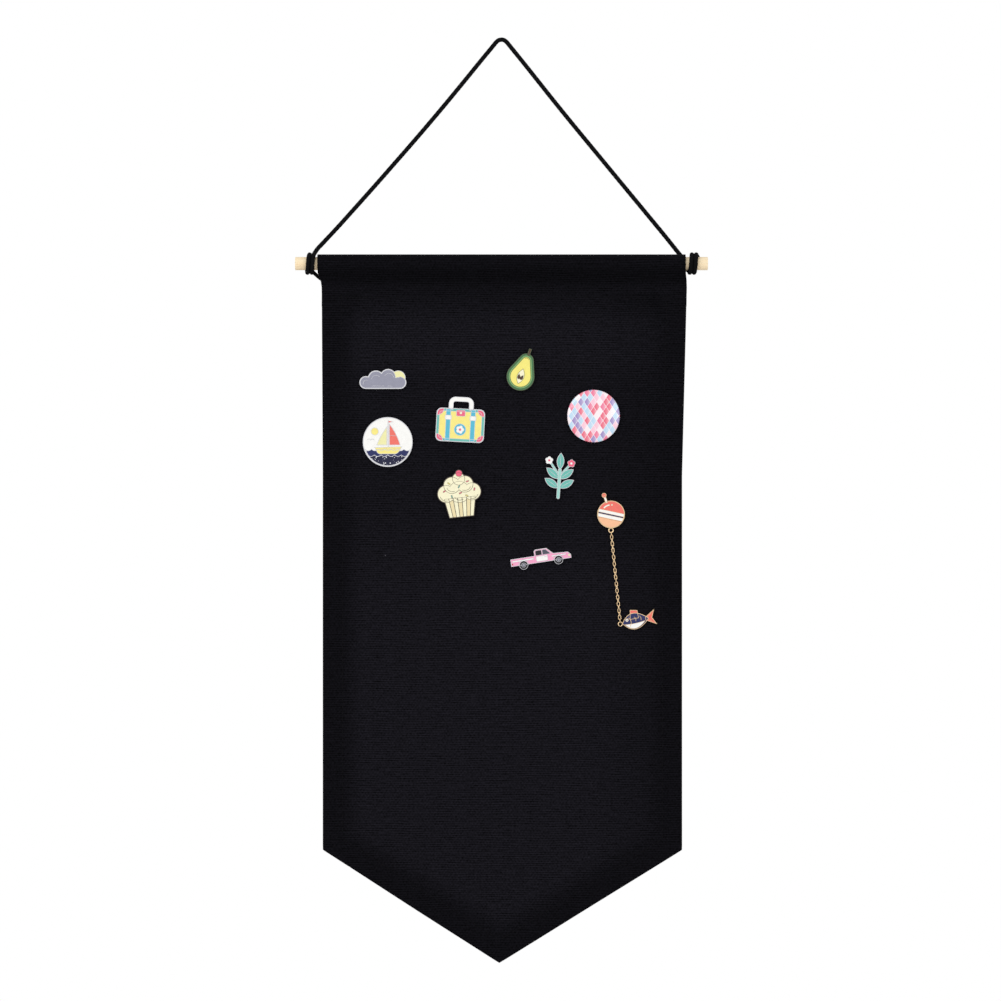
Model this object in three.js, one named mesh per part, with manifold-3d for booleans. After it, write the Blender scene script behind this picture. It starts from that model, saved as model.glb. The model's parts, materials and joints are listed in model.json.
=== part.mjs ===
// Pin display banner: a pointed canvas pennant that hangs from a wooden dowel on a tied cord,
// with enamel badges pinned through the cloth. Millimetres, +Z up, and the front faces -Y.
// The origin is the hang point, on the underside of the cord's bend.

import * as THREE from 'three';
import { mergeVertices } from 'three/addons/utils/BufferGeometryUtils.js';
import Module from 'manifold-3d';

const wasm = await Module();
wasm.setup();

// Clearances
const runningGap = 0.3;
const cordTurnGap = 0.42;
const linkGap = 0.22;
const eyeSideGap = 0.15;

// Cord and dowel
const hangDrop = 109.65;
const cordDiameter = 1.8;
const knotDiameter = 3.2;
const dowelDiameter = 6.5;
const dowelOverhang = 11;

// Canvas
const clothThickness = 1;
const sleeveWidth = 181.6;
const sleeveStepIn = 0.7;
const panelTaper = 1.4;
const panelHeight = 350;
const pointHeight = 56;
const taperHeight = 90;
const sleeveDepth = 15;
const seamAllowance = 6;
const hemWidth = 12;
// How far the panel hangs to the right at its seam, at the foot of its taper and at its tip
const panelShift = { seam: 1.35, foot: 0.45, tip: -1.1 };

// Badges and clutches
const plateThickness = 1.6;
const postDiameter = 1.1;
const postLength = 8;
const postTipLength = 1.2;
const postTipDiameter = 0.5;
const clutchDiameter = 11.2;
const clutchHeight = 4.4;
const clutchBaseHeight = 0.9;
const clutchDomeDiameter = 7;
const clutchCrownDiameter = 3.5;
const wingSpan = 10.4;
const wingLength = 3.45;
const wingWidth = 2.8;
const wingThickness = 1.6;

// Chain and charm
const linkCount = 27;
const linkLength = 2.58;
const linkWidth = 1.55;
const linkWire = 0.35;
const chainSlant = 5.7;
const eyeInner = 1.6;
const eyeWall = 0.6;
const charmEyeWall = 0.45;
const charmThickness = 1.2;
const charmRise = 12;

// Where each badge's post goes through the cloth: across, down from the dowel's axis,
// and how far the badge leans clockwise
const badgePlaces = {
  cloud: { x: -58.5, down: 57, lean: 0 },
  boat: { x: -56.1, down: 88.1, lean: 0 },
  suitcase: { x: -20.2, down: 77, lean: 3 },
  cupcake: { x: -20.8, down: 113.5, lean: -6 },
  pear: { x: 10.6, down: 52.5, lean: 20 },
  harlequin: { x: 45.4, down: 75.3, lean: 0 },
  sprig: { x: 28.6, down: 104.9, lean: 4 },
  truck: { x: 19.3, down: 145, lean: -8.8 },
  float: { x: 54, down: 123.8, lean: 0 },
};

// Badge outlines, with round parts as [x, z, radius] from the badge's post
const boatDiameter = 24.6;
const harlequinDiameter = 26;
const harlequinRim = 1;
const harlequinCrown = 1.3;
const cloudBar = { halfLength: 8.4, radius: 3.2, z: -1.75 };
const cloudPuffs = [[-3.4, 0.2, 4], [2.6, 0.95, 4]];
const cloudSun = [7.6, 0.6, 3.6];
const suitcaseCase = { width: 24, height: 16.6, corner: 2.6, z: -2.85 };
const suitcaseHandle = { width: 12.4, rise: 5.7, thickness: 2.4, corner: 3.4 };
const cupcakeCase = { topWidth: 16.4, bottomWidth: 12.4, top: -1.2, bottom: -11.8 };
const cupcakeSwirl = [[-6.4, 0.4, 4.6], [6.4, 0.4, 4.6], [0, 0.8, 5.6], [-3.2, 4.4, 4.4], [3.2, 4.4, 4.4],
  [0.4, 7.2, 3.4]];
const cupcakeCherry = [0.8, 9.9, 1.9];
const pearBelly = { z: -3.6, radius: 6.9 };
const pearNeck = { z: 4.7, radius: 3.7 };
const pearStem = { width: 1.4, top: 11 };
const sprigStem = { width: 1.7, bottom: -10.5, top: 5 };
const sprigLeaf = { length: 8.6, width: 3.8 };
const sprigLeafSeats = [[-6, -58], [-6, 58], [-1.5, -52], [-1.5, 52], [3, 0]];
const sprigBlossoms = [[-5.6, 7.4], [5.4, 6.6]];
const sprigBlossomRadius = 2;
const sprigStalkWidth = 1.2;
const truckBody = { length: 30, sill: -2.5, waist: 1.2, roof: 4.2 };
const truckNose = { height: 1.9, slopeRun: 1.4, slopeDrop: 0.4 };
const truckBonnetLength = 8.6;
const truckScreenRun = 3;
const truckRoofLength = 5.6;
const truckCabCorner = 0.8;
const truckWheelRadius = 2.2;
const truckWheelSeats = [-8.8, 8.6];
const floatRadius = 6.8;
const floatStem = { width: 1.2, length: 10, lean: -20, beadRadius: 1.2 };
const fishBody = { noseGap: 0.1, length: 13.6, fullestAt: 5.4, height: 8.2 };
const fishTail = { overlap: 1.9, length: 5.2, rootWidth: 1.6, spread: 7.6, notch: 1.8 };
const fishFin = { start: 4.1, length: 4.6, base: 1, rise: 5.9, slope: 0.9, rake: 1 };

// Windings: how far past the sleeve each begins, its angle there from the back, how far it turns
// from then on, and the straight run that comes before
const leftTurns = { setback: 1.75, outward: -1, fromAngle: 90, sweep: 585, straight: 1.8 };
const rightTurns = { setback: 1.6, outward: 1, fromAngle: 0, sweep: -650, straight: 4.2 };

// The cord's free run, from the left winding over the hang point to the right winding
const cordRoute = [
  [-89.5, 3.84, -100.52], [-80.85, 3.47, -91.32], [-73.8, 3.17, -83.53], [-66.8, 2.87, -75.74],
  [-59.85, 2.57, -67.95], [-53, 2.27, -60.16], [-46.15, 1.98, -52.37], [-39.4, 1.69, -44.58],
  [-32.75, 1.4, -36.79], [-26.2, 1.12, -29], [-17.95, 0.77, -19], [-10.85, 0.47, -10.3],
  [-5.3, 0.23, -3.6], [-2.53, 0.11, -0.28], [-1.81, 0.08, 0.36], [-0.95, 0.04, 0.76], [0, 0, 0.9],
  [0.95, 0.06, 0.76], [1.82, 0.12, 0.35], [2.54, 0.16, -0.29], [5.27, 0.33, -3.6], [10.73, 0.68, -10.3],
  [17.7, 1.12, -19], [25.7, 1.63, -29], [32.45, 2.05, -37.31], [39.3, 2.49, -45.61], [46.2, 2.92, -53.92],
  [53.1, 3.36, -62.23], [60, 3.79, -70.54], [66.9, 4.23, -78.84], [73.8, 4.67, -87.15],
  [80.7, 5.1, -95.46], [88.1, 5.57, -104.66],
];
// The cord's tails, with heights counted from the dowel's axis
const leftTailRoute = [[-95.1, 7.05, -1.9], [-93.5, 7.3, -3.6], [-91.8, 7, -5.2], [-89.8, 6.5, -6.9],
  [-87.5, 6, -8.4], [-85.6, 5.8, -9.3]];
const rightTailRoute = [[96.3, 6.22, 1.14], [95.5, 6.9, -1.2], [93, 6.9, -2.4], [90, 6.8, -3.1],
  [87.2, 6.7, -3.6]];

// Facets
const dowelSides = 24;
const roundSides = 40;
const lobeSides = 28;
const clutchSides = 20;
const smallSides = 10;
const cornerSteps = 6;
const eyeSteps = 10;
const outlineSteps = 14;
const sleeveSteps = 14;
const crownSteps = 3;
const knotSides = 12;
const linkSteps = 12;
const wireSides = 5;
const cordSides = 8;
const cordStepsPerPoint = 2;
const windingSides = 6;
const windingSteps = 24;

const clothFront = -clothThickness / 2;
const clothBack = clothThickness / 2;
const plateBack = clothFront - runningGap;
const plateFront = plateBack - plateThickness;
const chainY = (plateBack + plateFront) / 2;
const clutchSeat = clothBack + runningGap;
const dowelZ = -hangDrop;
const sleeveInner = dowelDiameter / 2 + runningGap;
const sleeveOuter = sleeveInner + clothThickness;
const pointZ = dowelZ + sleeveOuter - panelHeight;
const panelTopWidth = sleeveWidth - sleeveStepIn * 2;
const panelWidth = panelTopWidth - panelTaper * 2;
const dowelLength = sleeveWidth + dowelOverhang * 2;
const windingRadius = dowelDiameter / 2 + runningGap + cordDiameter / 2;
const windingPitch = cordDiameter + cordTurnGap;
const eyeOuter = eyeInner + eyeWall * 2;
const eyeThickness = linkWidth - linkWire * 2 - eyeSideGap * 2;
const eyeDrop = floatRadius + eyeOuter / 2 - runningGap;

const finishes = {
  canvas: { color: 0x17161b, roughness: 0.95, metalness: 0 },
  wood: { color: 0xe8c79a, roughness: 0.6, metalness: 0 },
  cord: { color: 0x141317, roughness: 0.9, metalness: 0 },
  gold: { color: 0xd7aa5a, roughness: 0.3, metalness: 1 },
  brass: { color: 0xc9a75a, roughness: 0.35, metalness: 1 },
  grey: { color: 0x9696a5, roughness: 0.3, metalness: 0 },
  white: { color: 0xf4f1ea, roughness: 0.3, metalness: 0 },
  yellow: { color: 0xfaeb8c, roughness: 0.3, metalness: 0 },
  cream: { color: 0xfaf3cd, roughness: 0.3, metalness: 0 },
  green: { color: 0x4b7d55, roughness: 0.3, metalness: 0 },
  pink: { color: 0xf06e96, roughness: 0.3, metalness: 0 },
  teal: { color: 0x69b9aa, roughness: 0.3, metalness: 0 },
  rose: { color: 0xf5a5c8, roughness: 0.3, metalness: 0 },
  coral: { color: 0xf07864, roughness: 0.3, metalness: 0 },
  navy: { color: 0x323764, roughness: 0.3, metalness: 0 },
};

const banner = new THREE.Group();

function addMesh(name, geometry, finish, place = {}) {
  const mesh = new THREE.Mesh(geometry, new THREE.MeshStandardMaterial(finishes[finish]));
  mesh.name = name;
  mesh.position.set(place.x ?? 0, place.y ?? 0, place.z ?? 0);
  mesh.rotation.y = THREE.MathUtils.degToRad(place.lean ?? 0);
  banner.add(mesh);
  return mesh;
}

// Solids that can be joined and cut

function solidOf(geometry) {
  const bare = new THREE.BufferGeometry();
  bare.setAttribute('position', geometry.getAttribute('position'));
  bare.setIndex(geometry.index);
  const merged = mergeVertices(bare);
  const corners = merged.index.array;
  const kept = [];
  for (let i = 0; i < corners.length; i += 3) {
    const [a, b, c] = corners.subarray(i, i + 3);
    if (a !== b && b !== c && c !== a) kept.push(a, b, c);
  }
  return new wasm.Manifold(new wasm.Mesh({
    numProp: 3,
    vertProperties: new Float32Array(merged.getAttribute('position').array),
    triVerts: new Uint32Array(kept),
  }));
}

function geometryOf(solid) {
  const { vertProperties, triVerts } = solid.getMesh();
  const geometry = new THREE.BufferGeometry();
  geometry.setAttribute('position', new THREE.BufferAttribute(vertProperties, 3));
  geometry.setIndex(new THREE.BufferAttribute(triVerts, 1));
  return geometry;
}

function joined(solids) {
  return solids.reduce((whole, next) => whole.add(next));
}

// Flat shapes, drawn in X and Z and given their thickness along Y

function slab(shape, back = plateBack, front = plateFront, curveSegments = cornerSteps) {
  const depth = back - front;
  const geometry = new THREE.ExtrudeGeometry(shape, { depth, bevelEnabled: false, curveSegments });
  geometry.rotateX(Math.PI / 2);
  geometry.translate(0, back, 0);
  return solidOf(geometry);
}

function disc(x, z, radius, back = plateBack, front = plateFront, sides = lobeSides) {
  const geometry = new THREE.CylinderGeometry(radius, radius, back - front, sides);
  geometry.translate(x, (back + front) / 2, z);
  return solidOf(geometry);
}

function polygon(points) {
  return new THREE.Shape(points.map(([x, z]) => new THREE.Vector2(x, z)));
}

function roundedRectangle(width, bottom, top, corner) {
  const half = width / 2;
  const shape = new THREE.Shape();
  shape.absarc(half - corner, bottom + corner, corner, -Math.PI / 2, 0);
  shape.absarc(half - corner, top - corner, corner, 0, Math.PI / 2);
  shape.absarc(corner - half, top - corner, corner, Math.PI / 2, Math.PI);
  shape.absarc(corner - half, bottom + corner, corner, Math.PI, Math.PI * 1.5);
  return shape;
}

function bar(fromX, fromZ, toX, toZ, width) {
  const along = new THREE.Vector2(toX - fromX, toZ - fromZ).normalize().multiplyScalar(width / 2);
  return slab(polygon([
    [fromX + along.y, fromZ - along.x],
    [toX + along.y, toZ - along.x],
    [toX - along.y, toZ + along.x],
    [fromX - along.y, fromZ + along.x],
  ]));
}

function ringEye(x, z, wall) {
  const shape = new THREE.Shape().absarc(x, z, eyeInner / 2 + wall, 0, Math.PI * 2);
  shape.holes.push(new THREE.Path().absarc(x, z, eyeInner / 2, 0, Math.PI * 2));
  return slab(shape, chainY + eyeThickness / 2, chainY - eyeThickness / 2, eyeSteps);
}

// Dowel

const dowelRadius = dowelDiameter / 2;
const dowelGeometry = new THREE.CylinderGeometry(dowelRadius, dowelRadius, dowelLength, dowelSides);
dowelGeometry.rotateZ(Math.PI / 2);
addMesh('dowel', dowelGeometry, 'wood', { z: dowelZ });

// Canvas: the sleeve and the sheet share one profile, cut to the pennant's outline, and part at the seam

function loopAroundDowel(radius, footY, footZ) {
  const reach = Math.hypot(footY, footZ);
  const lean = Math.atan2(footY, -footZ);
  const opening = Math.acos(radius / reach);
  const frontStart = -Math.PI / 2 + lean - opening;
  const backEnd = -Math.PI / 2 + lean + opening;
  const points = [];
  for (let i = 0; i <= sleeveSteps; i += 1) {
    const angle = frontStart - ((Math.PI * 2 - (backEnd - frontStart)) * i) / sleeveSteps;
    points.push([Math.cos(angle) * radius, Math.sin(angle) * radius]);
  }
  return points;
}

function clothProfile() {
  const outerLoop = loopAroundDowel(sleeveOuter, clothBack, -sleeveDepth);
  const innerLoop = loopAroundDowel(sleeveInner, clothBack, -sleeveDepth);
  const flapBack = clothBack + clothThickness;
  const flapFoot = -sleeveDepth - seamAllowance;
  const profile = polygon([
    [clothFront, pointZ - dowelZ],
    [clothFront, -sleeveDepth],
    ...outerLoop,
    [flapBack, -sleeveDepth],
    [flapBack, flapFoot],
    [clothBack, flapFoot],
    [clothBack, pointZ - dowelZ],
  ].reverse());
  profile.holes.push(new THREE.Path(
    [[clothBack, -sleeveDepth], ...innerLoop].map(([y, z]) => new THREE.Vector2(y, z)),
  ));
  return profile;
}

function shiftAt(z) {
  const taperFoot = dowelZ - sleeveDepth - taperHeight;
  const { seam, foot, tip } = panelShift;
  if (z > taperFoot) return foot + ((seam - foot) * (z - taperFoot)) / taperHeight;
  return foot + (tip - foot) * Math.max(0, 1 - (z - pointZ) / pointHeight);
}

function pennantOutline(inset = 0) {
  const half = panelWidth / 2 - inset;
  const topHalf = panelTopWidth / 2 - inset;
  const slope = Math.hypot(panelWidth / 2, pointHeight);
  const tip = pointZ + (inset * slope) / (panelWidth / 2);
  const shoulder = tip + (half * pointHeight) / (panelWidth / 2);
  const top = dowelZ - sleeveDepth;
  return [[-topHalf, top], [-half, top - taperHeight], [-half, shoulder], [0, tip], [half, shoulder],
    [half, top - taperHeight], [topHalf, top]].map(([x, z]) => [x + shiftAt(z), z]);
}

function makeCanvas() {
  const run = new THREE.ExtrudeGeometry(clothProfile(), { depth: sleeveWidth, bevelEnabled: false });
  run.rotateX(Math.PI / 2);
  run.rotateZ(Math.PI / 2);
  run.translate(-sleeveWidth / 2, 0, dowelZ);
  const sleeveTop = dowelZ + sleeveOuter + runningGap;
  const outline = pennantOutline();
  const sleeveEdge = sleeveWidth / 2;
  const cutter = slab(polygon([
    ...outline,
    [sleeveEdge, dowelZ - sleeveOuter],
    [sleeveEdge, sleeveTop],
    [-sleeveEdge, sleeveTop],
    [-sleeveEdge, dowelZ - sleeveOuter],
  ]), sleeveOuter * 2, -sleeveOuter * 2);
  const hem = polygon([...outline, ...pennantOutline(hemWidth).reverse()]);
  let canvas = solidOf(run).intersect(cutter);
  canvas = canvas.add(slab(hem, clothBack + clothThickness, 0));
  for (const { x, down } of Object.values(badgePlaces)) {
    const hole = disc(x, dowelZ - down, postDiameter / 2 + runningGap, sleeveOuter, -sleeveOuter, smallSides);
    canvas = canvas.subtract(hole);
  }
  return canvas.splitByPlane([0, 0, 1], dowelZ - sleeveDepth).map(geometryOf);
}

const [sleeveGeometry, panelGeometry] = makeCanvas();
addMesh('canvas_sleeve', sleeveGeometry, 'canvas');
addMesh('canvas_panel', panelGeometry, 'canvas');

// Cord

function tubeThrough(points, sides, stepsPerPoint = 1) {
  const curve = new THREE.CatmullRomCurve3(points, false, 'centripetal');
  curve.getPointAt = curve.getPoint;
  curve.getTangentAt = curve.getTangent;
  const section = new THREE.Shape();
  for (let i = 0; i < sides; i += 1) {
    const angle = (i / sides) * Math.PI * 2;
    const corner = [Math.cos(angle) * cordDiameter / 2, Math.sin(angle) * cordDiameter / 2];
    if (i) section.lineTo(...corner);
    else section.moveTo(...corner);
  }
  const steps = (points.length - 1) * stepsPerPoint;
  return new THREE.ExtrudeGeometry(section, { steps, extrudePath: curve });
}

function pointsFrom(route, z = 0) {
  return route.map(([x, y, up]) => new THREE.Vector3(x, y, up + z));
}

function leastGap(points) {
  let least = Infinity;
  points.forEach((here, i) => {
    let along = 0;
    for (let j = i + 1; j < points.length; j += 1) {
      along += points[j].distanceTo(points[j - 1]);
      if (along > cordDiameter * Math.PI) least = Math.min(least, here.distanceTo(points[j]) - cordDiameter);
    }
  });
  return least;
}

function windingPoints({ setback, outward, fromAngle, sweep, straight }, legEnd, legNext) {
  const start = sleeveWidth / 2 + setback;
  const along = legEnd.clone().sub(legNext).normalize();
  const first = legEnd.clone().addScaledVector(along, runningGap);
  const points = [first, first.clone().addScaledVector(along, straight)];
  const count = Math.round((Math.abs(sweep) / 360) * windingSteps);
  for (let i = 1; i <= count; i += 1) {
    const turned = (sweep * i) / count;
    const angle = THREE.MathUtils.degToRad(fromAngle + turned);
    points.push(new THREE.Vector3(outward * (start + (windingPitch * Math.abs(turned)) / 360),
      Math.cos(angle) * windingRadius, dowelZ + Math.sin(angle) * windingRadius));
  }
  const last = points.at(-1);
  const out = last.clone().sub(points.at(-2)).normalize();
  points.push(last.clone().addScaledVector(out, cordDiameter));
  return points;
}

function makeKnot(name, points) {
  const end = points.at(-1);
  const out = end.clone().sub(points.at(-2)).normalize();
  const centre = end.clone().addScaledVector(out, runningGap + knotDiameter / 2);
  const knot = new THREE.SphereGeometry(knotDiameter / 2, knotSides, knotSides / 2);
  knot.translate(centre.x, centre.y, centre.z);
  addMesh(name, geometryOf(solidOf(knot)), 'cord');
}

const cordPoints = pointsFrom(cordRoute);
const leftWinding = windingPoints(leftTurns, cordPoints[0], cordPoints[1]);
const rightWinding = windingPoints(rightTurns, cordPoints.at(-1), cordPoints.at(-2));
console.log('least gap between turns, left and right:',
  leastGap(leftWinding).toFixed(2), leastGap(rightWinding).toFixed(2));

addMesh('hanging_cord', tubeThrough(cordPoints, cordSides, cordStepsPerPoint), 'cord');
addMesh('left_cord_winding', tubeThrough(leftWinding, windingSides), 'cord');
addMesh('right_cord_winding', tubeThrough(rightWinding, windingSides), 'cord');
makeKnot('left_cord_knot', leftWinding);
makeKnot('right_cord_knot', rightWinding);
addMesh('left_cord_tail', tubeThrough(pointsFrom(leftTailRoute, dowelZ), cordSides), 'cord');
addMesh('right_cord_tail', tubeThrough(pointsFrom(rightTailRoute, dowelZ), cordSides), 'cord');

// Badge plates

function cloudPlate() {
  const { halfLength, radius, z } = cloudBar;
  return joined([
    slab(polygon([[-halfLength, z - radius], [halfLength, z - radius], [halfLength, z], [-halfLength, z]])),
    disc(-halfLength, z, radius),
    disc(halfLength, z, radius),
    ...[...cloudPuffs, cloudSun].map((puff) => disc(...puff)),
  ]);
}

function boatPlate() {
  return disc(0, 0, boatDiameter / 2, plateBack, plateFront, roundSides);
}

function suitcasePlate() {
  const { width, height, corner, z } = suitcaseCase;
  const { rise, thickness } = suitcaseHandle;
  const top = z + height / 2;
  const handle = roundedRectangle(suitcaseHandle.width, top - thickness, top + rise, suitcaseHandle.corner);
  handle.holes.push(roundedRectangle(suitcaseHandle.width - thickness * 2, top - thickness / 2,
    top + rise - thickness, suitcaseHandle.corner - thickness));
  return slab(roundedRectangle(width, z - height / 2, top, corner)).add(slab(handle));
}

function cupcakePlate() {
  const { topWidth, bottomWidth, top, bottom } = cupcakeCase;
  const paperCase = polygon([[-bottomWidth / 2, bottom], [bottomWidth / 2, bottom], [topWidth / 2, top],
    [-topWidth / 2, top]]);
  return joined([
    slab(paperCase),
    ...[...cupcakeSwirl, cupcakeCherry].map((blob) => disc(...blob)),
  ]);
}

function pearPlate() {
  const side = Math.asin((pearBelly.radius - pearNeck.radius) / (pearNeck.z - pearBelly.z));
  const shape = new THREE.Shape();
  shape.absarc(0, pearNeck.z, pearNeck.radius, side, Math.PI - side);
  shape.absarc(0, pearBelly.z, pearBelly.radius, Math.PI - side, Math.PI * 2 + side);
  const stem = bar(0, pearNeck.z, 0, pearStem.top, pearStem.width);
  return slab(shape, plateBack, plateFront, outlineSteps).add(stem);
}

function harlequinPlate() {
  const radius = harlequinDiameter / 2;
  const faceRadius = radius - harlequinRim / 2;
  const profile = [[0, plateBack], [radius - harlequinRim, plateBack], [radius, plateBack - harlequinRim],
    [faceRadius, plateFront]];
  for (let i = 1; i <= crownSteps; i += 1) {
    const out = 1 - i / crownSteps;
    profile.push([faceRadius * out, plateFront - harlequinCrown * (1 - out ** 2)]);
  }
  const points = profile.map(([r, y]) => new THREE.Vector2(r, y)).reverse();
  return solidOf(new THREE.LatheGeometry(points, roundSides));
}

function leafBlade(z, lean) {
  const turn = THREE.MathUtils.degToRad(lean);
  const tip = [Math.sin(turn) * sprigLeaf.length, z + Math.cos(turn) * sprigLeaf.length];
  const side = [Math.cos(turn) * sprigLeaf.width, -Math.sin(turn) * sprigLeaf.width];
  const middle = [tip[0] / 2, (z + tip[1]) / 2];
  const shape = new THREE.Shape();
  shape.moveTo(0, z);
  shape.quadraticCurveTo(middle[0] + side[0], middle[1] + side[1], ...tip);
  shape.quadraticCurveTo(middle[0] - side[0], middle[1] - side[1], 0, z);
  return slab(shape);
}

function sprigPlate() {
  return joined([
    bar(0, sprigStem.bottom, 0, sprigStem.top, sprigStem.width),
    disc(0, sprigStem.bottom, sprigStem.width / 2, plateBack, plateFront, smallSides),
    ...sprigLeafSeats.map(([z, lean]) => leafBlade(z, lean)),
    ...sprigBlossoms.map(([x, z]) => bar(0, 0, x, z, sprigStalkWidth)),
    ...sprigBlossoms.map(([x, z]) => disc(x, z, sprigBlossomRadius)),
  ]);
}

function truckPlate() {
  const { length, sill, waist, roof } = truckBody;
  const front = length / 2;
  const screenFoot = front - truckBonnetLength;
  const roofFront = screenFoot - truckScreenRun;
  const cabBack = roofFront - truckRoofLength - truckCabCorner;
  const body = polygon([
    [-front, sill], [front, sill], [front, sill + truckNose.height],
    [front - truckNose.slopeRun, waist - truckNose.slopeDrop], [screenFoot, waist], [roofFront, roof],
    [cabBack + truckCabCorner, roof], [cabBack, roof - truckCabCorner], [cabBack, waist], [-front, waist],
  ]);
  return joined([slab(body), ...truckWheelSeats.map((x) => disc(x, sill, truckWheelRadius))]);
}

function floatPlate() {
  const lean = THREE.MathUtils.degToRad(floatStem.lean);
  const tip = [Math.sin(lean) * floatStem.length, Math.cos(lean) * floatStem.length];
  return joined([
    disc(0, 0, floatRadius, plateBack, plateFront, roundSides),
    bar(0, 0, ...tip, floatStem.width),
    disc(...tip, floatStem.beadRadius, plateBack, plateFront, smallSides),
    ringEye(0, -eyeDrop, eyeWall),
  ]);
}

function makePost() {
  const tip = plateBack + postLength;
  const profile = [[0, plateBack - plateThickness / 2], [postDiameter / 2, plateBack - plateThickness / 2],
    [postDiameter / 2, tip - postTipLength], [postTipDiameter / 2, tip], [0, tip]];
  return solidOf(new THREE.LatheGeometry(profile.map(([r, y]) => new THREE.Vector2(r, y)), smallSides));
}

// Clutch: a round base, a sprung dome and two wings to pinch

function makeClutch() {
  const bore = postDiameter / 2 + runningGap;
  const base = clutchSeat + clutchBaseHeight;
  const top = clutchSeat + clutchHeight;
  const profile = [[bore, clutchSeat], [clutchDiameter / 2, clutchSeat], [clutchDiameter / 2, base],
    [clutchDomeDiameter / 2, base + clutchBaseHeight], [clutchDomeDiameter / 2, top - clutchBaseHeight],
    [clutchCrownDiameter / 2, top], [bore, top], [bore, clutchSeat]];
  const outline = profile.map(([r, y]) => new THREE.Vector2(r, y));
  const dome = solidOf(new THREE.LatheGeometry(outline, clutchSides));
  const wings = [-1, 1].map((side) => {
    const wing = new THREE.BoxGeometry(wingLength, wingThickness, wingWidth);
    wing.translate(side * (wingSpan - wingLength) / 2, top - clutchBaseHeight - wingThickness / 2, 0);
    return solidOf(wing);
  });
  return joined([dome, ...wings]);
}

const badgeMakers = {
  cloud: [cloudPlate, 'grey'],
  boat: [boatPlate, 'white'],
  suitcase: [suitcasePlate, 'yellow'],
  cupcake: [cupcakePlate, 'cream'],
  pear: [pearPlate, 'green'],
  harlequin: [harlequinPlate, 'pink'],
  sprig: [sprigPlate, 'teal'],
  truck: [truckPlate, 'rose'],
  float: [floatPlate, 'coral'],
};

const post = makePost();
const clutchGeometry = geometryOf(makeClutch());
for (const [name, [makePlate, finish]] of Object.entries(badgeMakers)) {
  const { x, down, lean } = badgePlaces[name];
  const place = { x, z: dowelZ - down, lean };
  addMesh(`${name}_badge`, geometryOf(makePlate().add(post)), finish, place);
  addMesh(`${name}_clutch`, clutchGeometry, 'brass', place);
}

// Chain: oval links that stand edge on and face on by turns, down from the float's eye

function linkGeometry() {
  const bend = (linkWidth - linkWire) / 2;
  const link = new THREE.TorusGeometry(bend, linkWire / 2, wireSides, linkSteps);
  link.rotateZ(Math.PI / linkSteps);
  const straight = (linkLength - linkWidth) / 2;
  const position = link.getAttribute('position');
  for (let i = 0; i < position.count; i += 1) {
    position.setY(i, position.getY(i) + Math.sign(position.getY(i)) * straight);
  }
  link.rotateX(Math.PI / 2);
  return geometryOf(solidOf(link));
}

const chainTop = new THREE.Vector3(badgePlaces.float.x, chainY, dowelZ - badgePlaces.float.down - eyeDrop);
const slant = THREE.MathUtils.degToRad(chainSlant);
const chainDown = new THREE.Vector3(Math.sin(slant), 0, -Math.cos(slant));
const wireSeat = (eyeInner - linkWire) / 2 - linkGap / 2;
const linkPitch = linkLength - linkWire * 2 - linkGap;
const firstLink = wireSeat + (linkLength - linkWire) / 2;
const linkShape = linkGeometry();

function onChain(distance) {
  return chainTop.clone().addScaledVector(chainDown, distance);
}

for (let i = 0; i < linkCount; i += 1) {
  const { x, y, z } = onChain(firstLink + i * linkPitch);
  const link = addMesh(`chain_link_${String(i + 1).padStart(2, '0')}`, linkShape, 'gold', { x, y, z });
  link.rotation.order = 'YZX';
  link.rotation.set(0, -slant, i % 2 ? 0 : Math.PI / 2);
}

// Fish charm, hung by the eye at its mouth

function fishPlate() {
  const back = chainY + charmThickness / 2;
  const front = chainY - charmThickness / 2;
  const { length, fullestAt, height } = fishBody;
  const nose = eyeInner / 2 + fishBody.noseGap;
  const end = nose + length;
  const body = new THREE.Shape();
  body.moveTo(nose, 0);
  body.quadraticCurveTo(nose + fullestAt, height, end, 0);
  body.quadraticCurveTo(nose + fullestAt, -height, nose, 0);
  const root = end - fishTail.overlap;
  const tip = root + fishTail.length;
  const { rootWidth, spread, notch } = fishTail;
  const tail = polygon([[root, -rootWidth / 2], [tip, -spread / 2], [tip - notch, 0], [tip, spread / 2],
    [root, rootWidth / 2]]);
  const finStart = nose + fishFin.start;
  const finEnd = finStart + fishFin.length;
  const { base, rise, slope, rake } = fishFin;
  const fin = polygon([[finStart, base], [finEnd, base], [finEnd, rise - slope], [finStart + rake, rise]]);
  return joined([slab(body, back, front, outlineSteps), slab(tail, back, front), slab(fin, back, front),
    ringEye(0, 0, charmEyeWall)]);
}

const charmHang = onChain(firstLink + (linkCount - 1) * linkPitch + (linkLength - linkWire) / 2 + wireSeat);
const { x: charmX, z: charmZ } = charmHang;
addMesh('fish_charm', geometryOf(fishPlate()), 'navy', { x: charmX, z: charmZ, lean: -charmRise });

export default banner;
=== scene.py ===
"""Pin display banner: a black canvas pennant on a dowel, with its cord, enamel badges, clutches and chain.

Shapes are drawn in millimetres, with x to the right, z up and the front towards -y, and each piece is
scaled to metres as it is finished.
"""

import json
import math

import bmesh
import bpy
from mathutils import Matrix, Vector


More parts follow.
